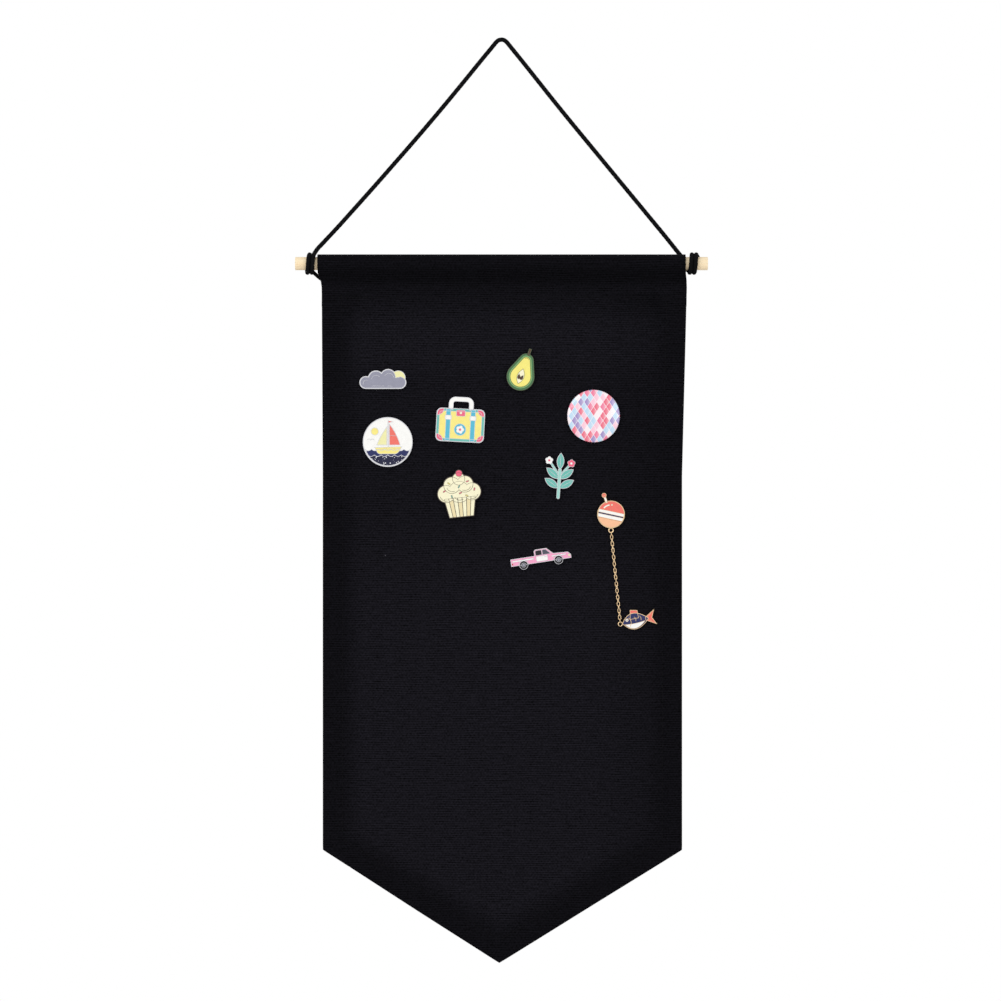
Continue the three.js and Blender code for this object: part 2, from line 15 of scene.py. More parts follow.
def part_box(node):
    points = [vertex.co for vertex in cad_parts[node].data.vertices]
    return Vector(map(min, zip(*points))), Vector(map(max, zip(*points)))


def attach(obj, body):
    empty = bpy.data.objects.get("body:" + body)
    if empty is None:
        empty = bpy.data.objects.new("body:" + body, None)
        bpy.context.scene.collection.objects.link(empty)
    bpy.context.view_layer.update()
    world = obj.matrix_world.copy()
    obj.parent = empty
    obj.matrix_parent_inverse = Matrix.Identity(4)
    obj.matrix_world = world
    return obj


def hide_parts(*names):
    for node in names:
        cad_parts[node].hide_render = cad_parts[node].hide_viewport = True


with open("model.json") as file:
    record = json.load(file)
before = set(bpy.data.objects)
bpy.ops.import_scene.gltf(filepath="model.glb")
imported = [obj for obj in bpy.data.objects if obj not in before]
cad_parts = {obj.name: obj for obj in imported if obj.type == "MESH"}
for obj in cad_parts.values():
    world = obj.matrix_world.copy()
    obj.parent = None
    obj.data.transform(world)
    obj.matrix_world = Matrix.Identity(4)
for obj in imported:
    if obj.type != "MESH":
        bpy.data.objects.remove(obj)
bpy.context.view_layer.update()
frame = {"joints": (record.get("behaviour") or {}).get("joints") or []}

MM = 0.001


def node_box(node):
    """Lowest and highest corner of a node, in millimetres."""
    low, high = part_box(node)
    return low / MM, high / MM


# Places and sizes from the frame
joint_place = {joint["name"]: Vector(joint["pos_m"]) / MM for joint in frame["joints"] if "pos_m" in joint}
dowel_low, dowel_high = node_box("dowel")
DOWEL_Z = (dowel_low.z + dowel_high.z) / 2
DOWEL_RADIUS = (dowel_high.z - dowel_low.z) / 2
DOWEL_LENGTH = dowel_high.x - dowel_low.x
SLEEVE_HALF = node_box("canvas_sleeve")[1].x
POINT_Z = node_box("canvas_panel")[0].z
PLATE_FRONT, POST_TIP = (corner.y for corner in node_box("boat_badge"))
CLUTCH_SEAT, CLUTCH_TOP = (corner.y for corner in node_box("boat_clutch"))
CHARM_FRONT, CHARM_BACK = (corner.y for corner in node_box("fish_charm"))

# Photograph: its size in pixels, and the middle of the cord's bend and the scale in it
PHOTO_PIXELS = 1001
HANG_PIXEL = (501.5, 41.47)
MM_PER_PIXEL = 0.49365

# Stage
CAMERA_DISTANCE = 2000
SENSOR_MM = 36
FLOOR_DROP = 160
FLOOR_RADIUS = 800

# Dowel: its broken edges, the saw step on its ends, and how far off it stays what goes round it
EDGE_BREAK = 0.25
SAW_STEP_WIDTH = 0.9
SAW_STEP = 0.04
SEAT_GAP = 0.3

# Canvas
CLOTH_THICKNESS = 1.0
PANEL_TOP_HALF = 90.1
PANEL_HALF = 88.7
TAPER_HEIGHT = 90
POINT_HEIGHT = 56
SLEEVE_DEPTH = 15
SLEEVE_BLEND = 7
SETTLE_HEIGHT = 8
SEAM_ALLOWANCE = 6
LAYER_GAP = 0.05
HEM_WIDTH = 12
HEM_BLEND = 1.4
PANEL_SHIFT = {"seam": 1.35, "foot": 0.45, "tip": -1.1}
FOLD_RADIUS = 0.53
CLOTH_CELL = 3.2
LEAST_CELL = 0.12
RIB_PITCH = 1.15
THREAD_PITCH = 0.8
STITCH_PITCH = 3.2
STITCH_RADII = (1.344, 0.16, 0.24)
STITCH_INSET = 2.2
STITCH_STAND = 0.02
SEAM_STITCH_DROP = 1.6
SEAM_STITCH_HALF = 86

# Cord
CORD_DIAMETER = 1.8
FUZZY_DIAMETER = 2.15
KNOT_RADIUS = 1.6
KNOT_STRAND = 1.25
FRAYED_ENDS = 14
ROPE_LAY = 7.0
ROPE_STEP = 0.45
LEFT_TURNS = {"setback": 1.75, "outward": -1, "from_angle": 90, "sweep": 585, "straight": 1.8}
RIGHT_TURNS = {"setback": 1.6, "outward": 1, "from_angle": 0, "sweep": -650, "straight": 4.2}
CORD_ROUTE = [
    (-89.5, 3.84, -100.52), (-80.85, 3.47, -91.32), (-73.8, 3.17, -83.53), (-66.8, 2.87, -75.74),
    (-59.85, 2.57, -67.95), (-53, 2.27, -60.16), (-46.15, 1.98, -52.37), (-39.4, 1.69, -44.58),
    (-32.75, 1.4, -36.79), (-26.2, 1.12, -29), (-17.95, 0.77, -19), (-10.85, 0.47, -10.3),
    (-5.3, 0.23, -3.6), (-2.53, 0.11, -0.28), (-1.81, 0.08, 0.36), (-0.95, 0.04, 0.76), (0, 0, 0.9),
    (0.95, 0.06, 0.76), (1.82, 0.12, 0.35), (2.54, 0.16, -0.29), (5.27, 0.33, -3.6),
    (10.73, 0.68, -10.3), (17.7, 1.12, -19), (25.7, 1.63, -29), (32.45, 2.05, -37.31),
    (39.3, 2.49, -45.61), (46.2, 2.92, -53.92), (53.1, 3.36, -62.23), (60, 3.79, -70.54),
    (66.9, 4.23, -78.84), (73.8, 4.67, -87.15), (80.7, 5.1, -95.46), (88.1, 5.57, -104.66),
]
LEFT_TAIL = [(-95.1, 7.05, -1.9), (-93.5, 7.3, -3.6), (-91.8, 7, -5.2), (-89.8, 6.5, -6.9),
             (-87.5, 6, -8.4), (-85.6, 5.8, -9.3)]
RIGHT_TAIL = [(96.3, 6.22, 1.14), (95.5, 6.9, -1.2), (93, 6.9, -2.4), (90, 6.8, -3.1), (87.2, 6.7, -3.6)]

# Badges: how far each leans clockwise, and the heights of their struck fronts
BADGE_LEAN = {"cloud": 0, "boat": 0, "suitcase": 3, "cupcake": -6, "pear": 20, "harlequin": 0, "sprig": 4,
              "truck": -8.8, "float": 0}
PLATE_THICKNESS = 1.6
RIM_WIDTH = 0.38
LINE_WIDTH = 0.26
ENAMEL_DROP = 0.07
MENISCUS_WIDTH = 0.2
MENISCUS_DROP = 0.03
LEVEL_RISE = 0.03
FIELD_DEPTH = 0.3
RIM_BEVEL = 0.09
POST_RADIUS = 0.55

# Clutches
CLUTCH_BORE = 0.85
WING_SIZE = (3.45, 1.6, 2.8)
WING_REACH = 3.475
WING_DROP = 1.7
WING_BEVEL = 0.38

# Chain
LINK_LENGTH = 2.58
LINK_WIDTH = 1.55
LINK_WIRE = 0.35
LINK_TWIST = 24
LINK_TO_EYE = 1.63
EYE_INNER = 1.6
EYE_OUTER = 2.8
CHARM_EYE_OUTER = 2.5
EYE_THICKNESS = 0.55
CHARM_LEAN = -12
FIRST_LOWER_LINK = 14
LINK_COUNT = 27


# Colours and finishes

def linear(colour):
    """An sRGB colour, 0 to 255, as linear light."""
    shares = [value / 255 for value in colour]
    return [s / 12.92 if s <= 0.04045 else ((s + 0.055) / 1.055) ** 2.4 for s in shares] + [1.0]


def scaled(colour, factor):
    return [min(1.0, channel * factor) for channel in colour[:3]] + [1.0]


class Finish:
    """A node material that starts from one shader and grows by small steps."""

    def __init__(self, name, metallic=0.0, coat=0.0, specular=0.5):
        self.material = bpy.data.materials.new(name)
        self.material.use_nodes = True
        self.tree = self.material.node_tree
        self.shader = self.tree.nodes["Principled BSDF"]
        self.feed(self.shader, {"Metallic": metallic, "Coat Weight": coat, "Coat Roughness": 0.06,
                                "Specular IOR Level": specular})

    def feed(self, node, inputs):
        """Links each input to its socket, or sets its value."""
        for name, value in inputs.items():
            if isinstance(value, bpy.types.NodeSocket):
                self.tree.links.new(value, node.inputs[name])
            else:
                node.inputs[name].default_value = value

    def add(self, kind, inputs, **settings):
        node = self.tree.nodes.new(kind)
        for name, value in settings.items():
            setattr(node, name, value)
        self.feed(node, inputs)
        return node

    def place(self):
        return self.add("ShaderNodeTexCoord", {}).outputs["Object"]

    def noise(self, vector, scale, detail=3.0):
        inputs = {"Vector": vector, "Scale": scale, "Detail": detail}
        return self.add("ShaderNodeTexNoise", inputs).outputs["Fac"]

    def streaks(self, vector, scale, detail=3.0):
        """Noise with its own scale along each axis."""
        stretched = self.add("ShaderNodeMapping", {"Vector": vector, "Scale": scale})
        return self.noise(stretched.outputs["Vector"], 1.0, detail)

    def cells(self, vector, scale, radius):
        """A dot of that radius in each cell of a loose grid."""
        grid = self.add("ShaderNodeTexVoronoi", {"Vector": vector, "Scale": scale})
        return self.maths("LESS_THAN", grid.outputs["Distance"], radius)

    def maths(self, operation, first, second=0.0, third=0.0):
        inputs = {0: first, 1: second, 2: third}
        return self.add("ShaderNodeMath", inputs, operation=operation).outputs["Value"]

    def ranged(self, value, low, high, start=0.0, end=1.0):
        inputs = {"Value": value, "From Min": start, "From Max": end, "To Min": low, "To Max": high}
        return self.add("ShaderNodeMapRange", inputs).outputs["Result"]

    def mixed(self, factor, first, second):
        return self.add("ShaderNodeMix", {0: factor, 6: first, 7: second}, data_type="RGBA").outputs[2]

    def toned(self, factor, colour, low, high):
        """A colour that goes from low to high times itself."""
        return self.mixed(factor, scaled(linear(colour), low), scaled(linear(colour), high))

    def done(self, colour, roughness, relief, depth, strength):
        """The material, with its colour, roughness and relief on the shader."""
        bump = self.add("ShaderNodeBump", {"Height": relief, "Distance": depth, "Strength": strength})
        self.feed(self.shader, {"Base Color": colour, "Roughness": roughness,
                                "Normal": bump.outputs["Normal"]})
        return self.material


def enamel(name, colour, specks=None):
    """Fired enamel: glossy, a little uneven in colour, and speckled if specks gives a second colour."""
    finish = Finish(name, coat=0.1, specular=0.18)
    place = finish.place()
    tint = finish.toned(finish.noise(place, 420), colour, 0.9, 1.07)
    if specks:
        chosen = finish.maths("GREATER_THAN", finish.noise(place, 800, 0.0), 0.5)
        dots = finish.maths("MULTIPLY", finish.cells(place, 950, 0.3), chosen)
        tint = finish.mixed(dots, tint, linear(specks))
    gloss = finish.ranged(finish.noise(place, 1800), 0.1, 0.26)
    return finish.done(tint, gloss, finish.noise(place, 600, 1.0), 0.00002, 0.35)


def plating(name, colour, smooth=0.16, rough=0.36):
    """Plated metal: polished, with faint rubbing marks."""
    finish = Finish(name, metallic=1.0)
    place = finish.place()
    rubbed = finish.streaks(place, (300, 300, 2600))
    tint = finish.toned(finish.noise(place, 500), colour, 0.84, 1.05)
    return finish.done(tint, finish.ranged(rubbed, smooth, rough), rubbed, 0.00001, 0.4)


def canvas_finish(name, colour):
    """Cotton canvas: broken ribs of weft over a finer warp, with slubs, lint and painted shade at the hems.
    """
    finish = Finish(name, specular=0.03)
    cloth = finish.add("ShaderNodeUVMap", {}, uv_map="cloth").outputs["UV"]
    split = finish.add("ShaderNodeSeparateXYZ", {"Vector": cloth})
    across, along = split.outputs["X"], split.outputs["Y"]
    slub = finish.streaks(cloth, (170, 900, 1))
    grain = finish.noise(cloth, 900, 3.0)
    wander = finish.maths("MULTIPLY_ADD", finish.streaks(cloth, (14, 34, 1)), 16.0, slub)
    rib_turn = finish.maths("MULTIPLY_ADD", along, 2 * math.pi / (RIB_PITCH * MM), wander)
    shown = finish.ranged(finish.streaks(cloth, (90, 140, 1)), 0.15, 1.0, 0.35, 0.65)
    rib = finish.maths("MULTIPLY", finish.maths("SINE", rib_turn), shown)
    warp = finish.maths("SINE", finish.maths("MULTIPLY", across, math.pi / (THREAD_PITCH * MM)))
    cross = finish.maths("MULTIPLY", warp, finish.maths("SINE", finish.maths("MULTIPLY", rib_turn, 0.5)))
    weave = finish.maths("MULTIPLY_ADD", cross, 0.35, rib)
    worn = finish.maths("MULTIPLY_ADD", grain, 4.0, finish.maths("MULTIPLY_ADD", slub, 2.4, weave))
    tint = finish.toned(finish.ranged(worn, 0.0, 1.0, 1.6, 4.8), colour, 0.15, 1.85)
    # Painted shade: the shade attribute darkens the cloth towards black at its hems, its seam, under the
    # dowel and where it faces away from the light
    shade = finish.add("ShaderNodeAttribute", {}, attribute_name="shade").outputs["Fac"]
    tint = finish.mixed(finish.maths("MULTIPLY", shade, 0.46), tint, linear((0, 0, 0)))
    tint = finish.mixed(finish.cells(cloth, 34, 0.011), tint, linear((70, 68, 74)))
    relief = finish.maths("MULTIPLY_ADD", slub, 0.9, weave)
    return finish.done(tint, finish.ranged(slub, 0.82, 0.97), relief, 0.00016, 0.55)


def thread_finish(name, colour, twist=2200):
    """Spun thread or cord: matt, with fine fibres along it."""
    finish = Finish(name, specular=0.06)
    place = finish.place()
    fibres = finish.noise(place, twist, 4.0)
    tint = finish.toned(fibres, colour, 0.55, 1.5)
    return finish.done(tint, finish.ranged(finish.noise(place, 500), 0.7, 0.95), fibres, 0.0001, 0.5)


def wood_finish(name, pale, grain):
    """Sanded birch: long fine grain on the side, and rings and pores on the sawn ends."""
    finish = Finish(name, specular=0.3)
    place = finish.place()
    long_grain = finish.streaks(place, (25, 900, 900), 5.0)
    flecks = finish.streaks(place, (120, 2600, 2600), 2.0)
    pith = (0, 0.0011, -DOWEL_Z * MM + 0.0016)
    centred = finish.add("ShaderNodeMapping", {"Vector": place, "Location": pith}).outputs["Vector"]
    rings = finish.add("ShaderNodeTexWave",
                       {"Vector": centred, "Scale": 330.0, "Distortion": 2.5, "Detail": 3.0},
                       wave_type="RINGS", rings_direction="X").outputs["Fac"]
    tint = finish.mixed(finish.ranged(long_grain, 0.0, 1.0, 0.3, 0.75), linear(pale), linear(grain))
    tint = finish.mixed(finish.ranged(flecks, 0.0, 0.5, 0.62, 0.8), tint, scaled(linear(grain), 0.75))
    tint = finish.mixed(finish.ranged(rings, 0.0, 0.35), tint, linear(grain))
    relief = finish.maths("MULTIPLY_ADD", flecks, 0.6, long_grain)
    return finish.done(tint, finish.ranged(long_grain, 0.5, 0.72), relief, 0.00008, 0.4)


def harlequin_finish(name, pitch_x, pitch_z, colours):
    """A glossy print of diamonds in a few colours, each diamond's colour drawn by its place in the grid."""
    finish = Finish(name, coat=0.6)
    place = finish.place()
    centre = joint_place["harlequin_spin"]
    split = finish.add("ShaderNodeSeparateXYZ", {"Vector": place})
    across = finish.maths("MULTIPLY_ADD", split.outputs["X"], 1 / (pitch_x * MM), -centre.x / pitch_x)
    up = finish.maths("MULTIPLY_ADD", split.outputs["Z"], 1 / (pitch_z * MM), -centre.z / pitch_z)
    slants = [finish.maths("ADD", across, up), finish.maths("SUBTRACT", across, up)]
    column, row = (finish.maths("FLOOR", slant) for slant in slants)
    cell = finish.add("ShaderNodeCombineXYZ", {"X": column, "Y": row}).outputs["Vector"]
    drawn = finish.add("ShaderNodeTexWhiteNoise", {"Vector": cell}, noise_dimensions="2D").outputs["Value"]
    tint = linear(colours[0])
    for number, colour in enumerate(colours[1:], 1):
        chosen = finish.maths("GREATER_THAN", drawn, number / len(colours))
        tint = finish.mixed(chosen, tint, linear(colour))
    shade = finish.maths("MULTIPLY", *(finish.maths("FRACT", slant) for slant in slants))
    tint = finish.mixed(finish.ranged(shade, 0.0, 0.45), tint, linear((255, 255, 255)))
    for slant in slants:
        edge = finish.maths("LESS_THAN", finish.maths("PINGPONG", slant, 0.5), 0.035)
        tint = finish.mixed(edge, tint, linear((250, 246, 248)))
    gloss = finish.ranged(finish.noise(place, 900), 0.12, 0.28)
    return finish.done(tint, gloss, finish.noise(place, 700, 1.0), 0.00002, 0.3)


CANVAS = canvas_finish("black_canvas", (21, 20, 25))
STITCH_THREAD = thread_finish("black_stitching", (16, 15, 18))
CORD = thread_finish("black_cord", (12, 12, 14), 2600)
WOOD = wood_finish("birch_dowel", (255, 241, 208), (250, 222, 180))
GILT = plating("gilt_plating", (238, 208, 166))
SILVER = plating("silver_plating", (222, 222, 226))
NICKEL = plating("dark_nickel", (92, 84, 80), 0.2, 0.4)
BRONZE = plating("dark_bronze", (96, 108, 84), 0.2, 0.4)
BRASS = plating("clutch_brass", (214, 178, 100), 0.2, 0.42)
GREY = enamel("grey_enamel", (150, 150, 166))
DARK_GREY = enamel("dark_grey_enamel", (84, 84, 96))
PALE_YELLOW = enamel("pale_yellow_enamel", (240, 236, 176))
CREAM = enamel("cream_enamel", (250, 243, 208))
BISCUIT = enamel("biscuit_enamel", (238, 222, 176))
WHITE = enamel("white_enamel", (250, 248, 244))
YELLOW = enamel("yellow_enamel", (250, 234, 138))
BUTTER = enamel("butter_enamel", (246, 234, 128))
CORAL = enamel("coral_enamel", (240, 120, 108))
PEACH = enamel("peach_enamel", (250, 192, 152))
ROSE = enamel("rose_enamel", (246, 166, 200))
PINK = enamel("pink_enamel", (238, 104, 132))
RED = enamel("red_enamel", (206, 52, 62))
NAVY = enamel("navy_enamel", (46, 52, 98))
SPECKLED_NAVY = enamel("speckled_navy_enamel", (36, 37, 64), specks=(232, 232, 236))
TEAL = enamel("teal_enamel", (112, 190, 178))
PALE_TEAL = enamel("pale_teal_enamel", (162, 214, 204))
BLUE = enamel("blue_enamel", (92, 188, 212))
GREEN = enamel("green_enamel", (72, 122, 82))
LEAF_GREEN = enamel("leaf_green_enamel", (128, 172, 112))
BROWN = enamel("brown_enamel", (88, 62, 50))
BLACK = enamel("black_enamel", (40, 38, 42))
PRINT = harlequin_finish("harlequin_print", 3.1, 4.6, [
    (240, 110, 150), (250, 196, 214), (184, 216, 240), (236, 92, 122), (154, 134, 194), (252, 236, 240)])


# Outlines, drawn in x and z and counter-clockwise as seen from the front

def arc(x, z, radius, start, end, steps=14):
    turns = [math.radians(start + (end - start) * i / steps) for i in range(steps + 1)]
    return [(x + radius * math.cos(turn), z + radius * math.sin(turn)) for turn in turns]


def ring(x, z, radius, steps=40):
    return arc(x, z, radius, 0, 360, steps)[:-1]


def rounded(left, bottom, right, top, corner, steps=6):
    """A box with round corners."""
    return (arc(right - corner, bottom + corner, corner, -90, 0, steps)
            + arc(right - corner, top - corner, corner, 0, 90, steps)
            + arc(left + corner, top - corner, corner, 90, 180, steps)
            + arc(left + corner, bottom + corner, corner, 180, 270, steps))


def bow(first, pull, last, steps=10):
    """A curve from first towards pull and on to last, without its last point."""
    shares = [i / steps for i in range(steps)]
    return [tuple(a * (1 - t) ** 2 + 2 * b * t * (1 - t) + c * t * t for a, b, c in zip(first, pull, last))
            for t in shares]


def lens(first, right, last, left, steps=10):
    """A shape with two ends and a bow on each side."""
    return bow(first, right, last, steps) + bow(last, left, first, steps)


def line_outline(points, width):
    """The outline of a line of that width."""
    sides = []
    for i, here in enumerate(points):
        before, after = points[max(i - 1, 0)], points[min(i + 1, len(points) - 1)]
        along = (Vector(after) - Vector(before)).normalized() * (width / 2)
        sides.append(((here[0] + along.y, here[1] - along.x), (here[0] - along.y, here[1] + along.x)))
    return [right for right, _ in sides] + [left for _, left in reversed(sides)]


def disc_length(centre, direction, disc):
    """How far a ray goes before it leaves a disc, or 0."""
    x, z, radius = disc
    out = Vector((x, z)) - centre
    ahead = out.dot(direction)
    inside = ahead * ahead - out.length_squared + radius * radius
    return ahead + math.sqrt(inside) if inside > 0 else 0


def edge_length(centre, direction, first, last):
    """How far a ray goes before it crosses the edge from first to last, or 0."""
    edge = Vector(last) - Vector(first)
    start = Vector(first) - centre
    cross = direction.x * edge.y - direction.y * edge.x
    if abs(cross) < 1e-9:
        return 0
    reach = (start.x * edge.y - start.y * edge.x) / cross
    share = (start.x * direction.y - start.y * direction.x) / cross
    return reach if 0 <= share <= 1 else 0


def lobed(discs, flat=(), centre=(0, 0), steps=150):
    """The outline round several discs and one flat-sided shape, as seen from centre."""
    middle = Vector(centre)
    points = []
    for i in range(steps):
        angle = 2 * math.pi * i / steps
        direction = Vector((math.cos(angle), math.sin(angle)))
        reach = max([disc_length(middle, direction, disc) for disc in discs]
                    + [edge_length(middle, direction, flat[j - 1], flat[j]) for j in range(len(flat))])
        points.append(tuple(middle + direction * reach))
    return points


def blossom(x, z, reach, petal, start, steps):
    """The outline of five round petals."""
    turns = [start + 2 * math.pi * i / 5 for i in range(5)]
    petals = [(x + reach * math.cos(turn), z + reach * math.sin(turn), petal) for turn in turns]
    return lobed(petals, centre=(x, z), steps=steps)


def edge_gap(point, first, last):
    """How far a point lies from the edge between two others."""
    run = last - first
    share = max(0.0, min(1.0, (point - first).dot(run) / max(run.length_squared, 1e-12)))
    return (point - first - run * share).length


def drawn_in(outline, by):
    """The outline moved inwards, without the points that its corners leave no room for."""
    points = [Vector(point) for point in outline]
    ways = [(points[(i + 1) % len(points)] - here).normalized() for i, here in enumerate(points)]
    kept = []
    for i, here in enumerate(points):
        before, after = (Vector((-way.y, way.x)) for way in (ways[i - 1], ways[i]))
        moved = here + (before + after) * (by / max(0.05, 1 + before.dot(after)))
        room = min(edge_gap(moved, points[j - 1], points[j]) for j in range(len(points)))
        if room > by * 0.97:
            kept.append(tuple(moved))
    return kept


def mirrored(outline):
    return [(-x, z) for x, z in reversed(outline)]


def turned(outline, degrees, x=0, z=0):
    """The outline turned counter-clockwise and moved."""
    cosine, sine = math.cos(math.radians(degrees)), math.sin(math.radians(degrees))
    return [(x + px * cosine - pz * sine, z + px * sine + pz * cosine) for px, pz in outline]


def disc_band(radius, bottom, top):
    """The part of a disc between two heights."""
    low, high = (math.degrees(math.asin(z / radius)) for z in (bottom, top))
    steps = max(2, round((high - low) / 6))
    return arc(0, 0, radius, low, high, steps) + arc(0, 0, radius, 180 - high, 180 - low, steps)


# Finished pieces

def finish_piece(bm, name, body, materials, stands_for=(), place=Matrix(), sharp=32):
    """Puts a bmesh at its place in metres and makes it a piece."""
    bmesh.ops.recalc_face_normals(bm, faces=bm.faces)
    bm.transform(Matrix.Scale(MM, 4) @ place)
    mesh = bpy.data.meshes.new(name)
    bm.to_mesh(mesh)
    bm.free()
    return finish_mesh(mesh, name, body, materials, stands_for, sharp)


def finish_mesh(mesh, name, body, materials, stands_for=(), sharp=32):
    """A piece that rides a body and stands for nodes, with the materials it is given."""
    for material in materials:
        mesh.materials.append(material)
    mesh.polygons.foreach_set("use_smooth", [True] * len(mesh.polygons))
    mesh.set_sharp_from_angle(angle=math.radians(sharp))
    piece = bpy.data.objects.new(name, mesh)
    bpy.context.scene.collection.objects.link(piece)
    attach(piece, body)
    if stands_for:
        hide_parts(*stands_for)
    return piece


def spun(bm, profile, steps=32):
    """A profile of radius and y, turned once round the y axis."""
    verts = [bm.verts.new((radius, y, 0)) for radius, y in profile]
    edges = [bm.edges.new(pair) for pair in zip(verts, verts[1:])]
    bmesh.ops.spin(bm, geom=verts + edges, cent=(0, 0, 0), axis=(0, 1, 0), angle=2 * math.pi, steps=steps,
                   use_merge=True)
    bmesh.ops.remove_doubles(bm, verts=bm.verts, dist=1e-4)


def extruded(bm, edges):
    """Extrudes a row of edges where it is, and gives its new vertices and the edges between them."""
    made = bmesh.ops.extrude_edge_only(bm, edges=edges)["geom"]
    verts = [item for item in made if isinstance(item, bmesh.types.BMVert)]
    new = set(verts)
    return verts, [item for item in made if isinstance(item, bmesh.types.BMEdge) and set(item.verts) <= new]


def leant(place, degrees):
    """A place, and a lean there, clockwise as seen from the front."""
    return Matrix.Translation(place) @ Matrix.Rotation(math.radians(degrees), 4, "Y")


# Camera, lights and stage

def make_camera():
    """A long lens square to the cloth, aimed at the middle of the photograph."""
    camera = bpy.data.cameras.new("camera")
    camera.sensor_width = SENSOR_MM
    camera.lens = SENSOR_MM * CAMERA_DISTANCE / (PHOTO_PIXELS * MM_PER_PIXEL)
    camera.clip_end = 50
    eye = bpy.data.objects.new("camera", camera)
    right, down = (PHOTO_PIXELS / 2 - pixel for pixel in HANG_PIXEL)
    eye.location = Vector((right * MM_PER_PIXEL, -CAMERA_DISTANCE, -down * MM_PER_PIXEL)) * MM
    eye.rotation_euler = (math.pi / 2, 0, 0)
    bpy.context.scene.collection.objects.link(eye)
    bpy.context.scene.camera = eye


def make_lamp(name, place, target, width, power):
    lamp = bpy.data.lights.new(name, "AREA")
    lamp.shape = "DISK"
    lamp.size = width
    lamp.energy = power
    holder = bpy.data.objects.new(name, lamp)
    holder.location = place
    aim = Vector(target) - Vector(place)
    holder.rotation_euler = aim.to_track_quat("-Z", "Y").to_euler()
    bpy.context.scene.collection.objects.link(holder)


def make_world(strength):
    """Full white for camera, glossy and transmission rays, and a white of that strength for the rest."""
    world = bpy.data.worlds.new("white_studio")
    bpy.context.scene.world = world
    world.use_nodes = True
    nodes, links = world.node_tree.nodes, world.node_tree.links
    seen, lit = nodes["Background"], nodes.new("ShaderNodeBackground")
    for shader, power in ((seen, 1), (lit, strength)):
        shader.inputs["Color"].default_value = (1, 1, 1, 1)
        shader.inputs["Strength"].default_value = power
    path = nodes.new("ShaderNodeLightPath")
    white = path.outputs["Is Camera Ray"]
    for rays in ("Is Glossy Ray", "Is Transmission Ray"):
        either = nodes.new("ShaderNodeMath")
        either.operation = "MAXIMUM"
        links.new(white, either.inputs[0])
        links.new(path.outputs[rays], either.inputs[1])
        white = either.outputs[0]
    mix = nodes.new("ShaderNodeMixShader")
    for number, socket in enumerate((white, lit.outputs[0], seen.outputs[0])):
        links.new(socket, mix.inputs[number])
    links.new(mix.outputs[0], nodes["World Output"].inputs["Surface"])


def make_floor():
    bm = bmesh.new()
    bmesh.ops.create_circle(bm, cap_ends=True, segments=96, radius=FLOOR_RADIUS * MM,
                            matrix=Matrix.Translation((0, 0, (POINT_Z - FLOOR_DROP) * MM)))
    mesh = bpy.data.meshes.new("floor")
    bm.to_mesh(mesh)
    bm.free()
    paint = Finish("pale_floor")
    paint.feed(paint.shader, {"Base Color": (0.86, 0.86, 0.86, 1), "Roughness": 0.8})
    mesh.materials.append(paint.material)
    floor = bpy.data.objects.new("floor", mesh)
    bpy.context.scene.collection.objects.link(floor)


bpy.context.scene.view_settings.view_transform = "Standard"
make_camera()
make_world(0.68)
make_lamp("key_lamp", (-0.75, -1.15, 0.35), (0, 0, -0.22), 0.9, 6.3)
make_lamp("fill_lamp", (0.85, -1.2, -0.05), (0, 0, -0.25), 0.9, 3.6)
make_floor()


# Cord

def smooth_path(points, step):
    """A centripetal curve through the points, sampled about every step."""
    path = []
    ends = [points[0] * 2 - points[1], *points, points[-1] * 2 - points[-2]]
    for four in zip(ends, ends[1:], ends[2:], ends[3:]):
        knots = [0.0]
        for first, last in zip(four, four[1:]):
            knots.append(knots[-1] + (last - first).length ** 0.5)
        count = max(1, round((four[2] - four[1]).length / step))
        path += [curve_point(four, knots, knots[1] + (knots[2] - knots[1]) * i / count)
                 for i in range(count)]
    return path + [points[-1].copy()]


def curve_point(points, knots, t):
    """The point at t on the curve between the middle two of four points, blended pair by pair."""
    for spans in (((0, 1), (1, 2), (2, 3)), ((0, 2), (1, 3)), ((1, 2),)):
        shares = [(t - knots[start]) / (knots[end] - knots[start]) for start, end in spans]
        points = [points[i] * (1 - share) + points[i + 1] * share for i, share in enumerate(shares)]
    return points[0]


def strand_section(diameter):
    """The cross-section of three twisted strands, as a closed curve in metres."""
    curve = bpy.data.curves.new("strand_section", "CURVE")
    curve.dimensions = "2D"
    spline = curve.splines.new("POLY")
    spline.use_cyclic_u = True
    steps = 24
    spline.points.add(steps - 1)
    for i, point in enumerate(spline.points):
        angle = 2 * math.pi * i / steps
        radius = diameter / 2 * MM * (1.0 + 0.05 * abs(math.cos(1.5 * angle)))
        point.co = (radius * math.cos(angle), radius * math.sin(angle), 0, 1)
    return bpy.data.objects.new("strand_section", curve)


def rope_mesh(name, path, diameter, closed=False):
    """Three twisted strands along a path, as a mesh."""
    curve = bpy.data.curves.new(name, "CURVE")
    curve.dimensions = "3D"
    curve.bevel_mode = "OBJECT"
    section = strand_section(diameter)
    curve.bevel_object = section
    curve.use_fill_caps = not closed
    spline = curve.splines.new("POLY")
    spline.use_cyclic_u = closed
    spline.points.add(len(path) - 1)
    run = 0.0
    for i, (point, place) in enumerate(zip(spline.points, path)):
        run += (place - path[i - 1]).length if i else 0
        point.co = (*(place * MM), 1)
        point.tilt = 2 * math.pi * run / ROPE_LAY
    holder = bpy.data.objects.new(name, curve)
    for piece in (section, holder):
        bpy.context.scene.collection.objects.link(piece)
    bpy.context.view_layer.update()
    mesh = bpy.data.meshes.new_from_object(holder.evaluated_get(bpy.context.evaluated_depsgraph_get()))
    mesh.materials.clear()
    for piece in (holder, section):
        shape = piece.data
        bpy.data.objects.remove(piece)
        bpy.data.curves.remove(shape)
    return mesh


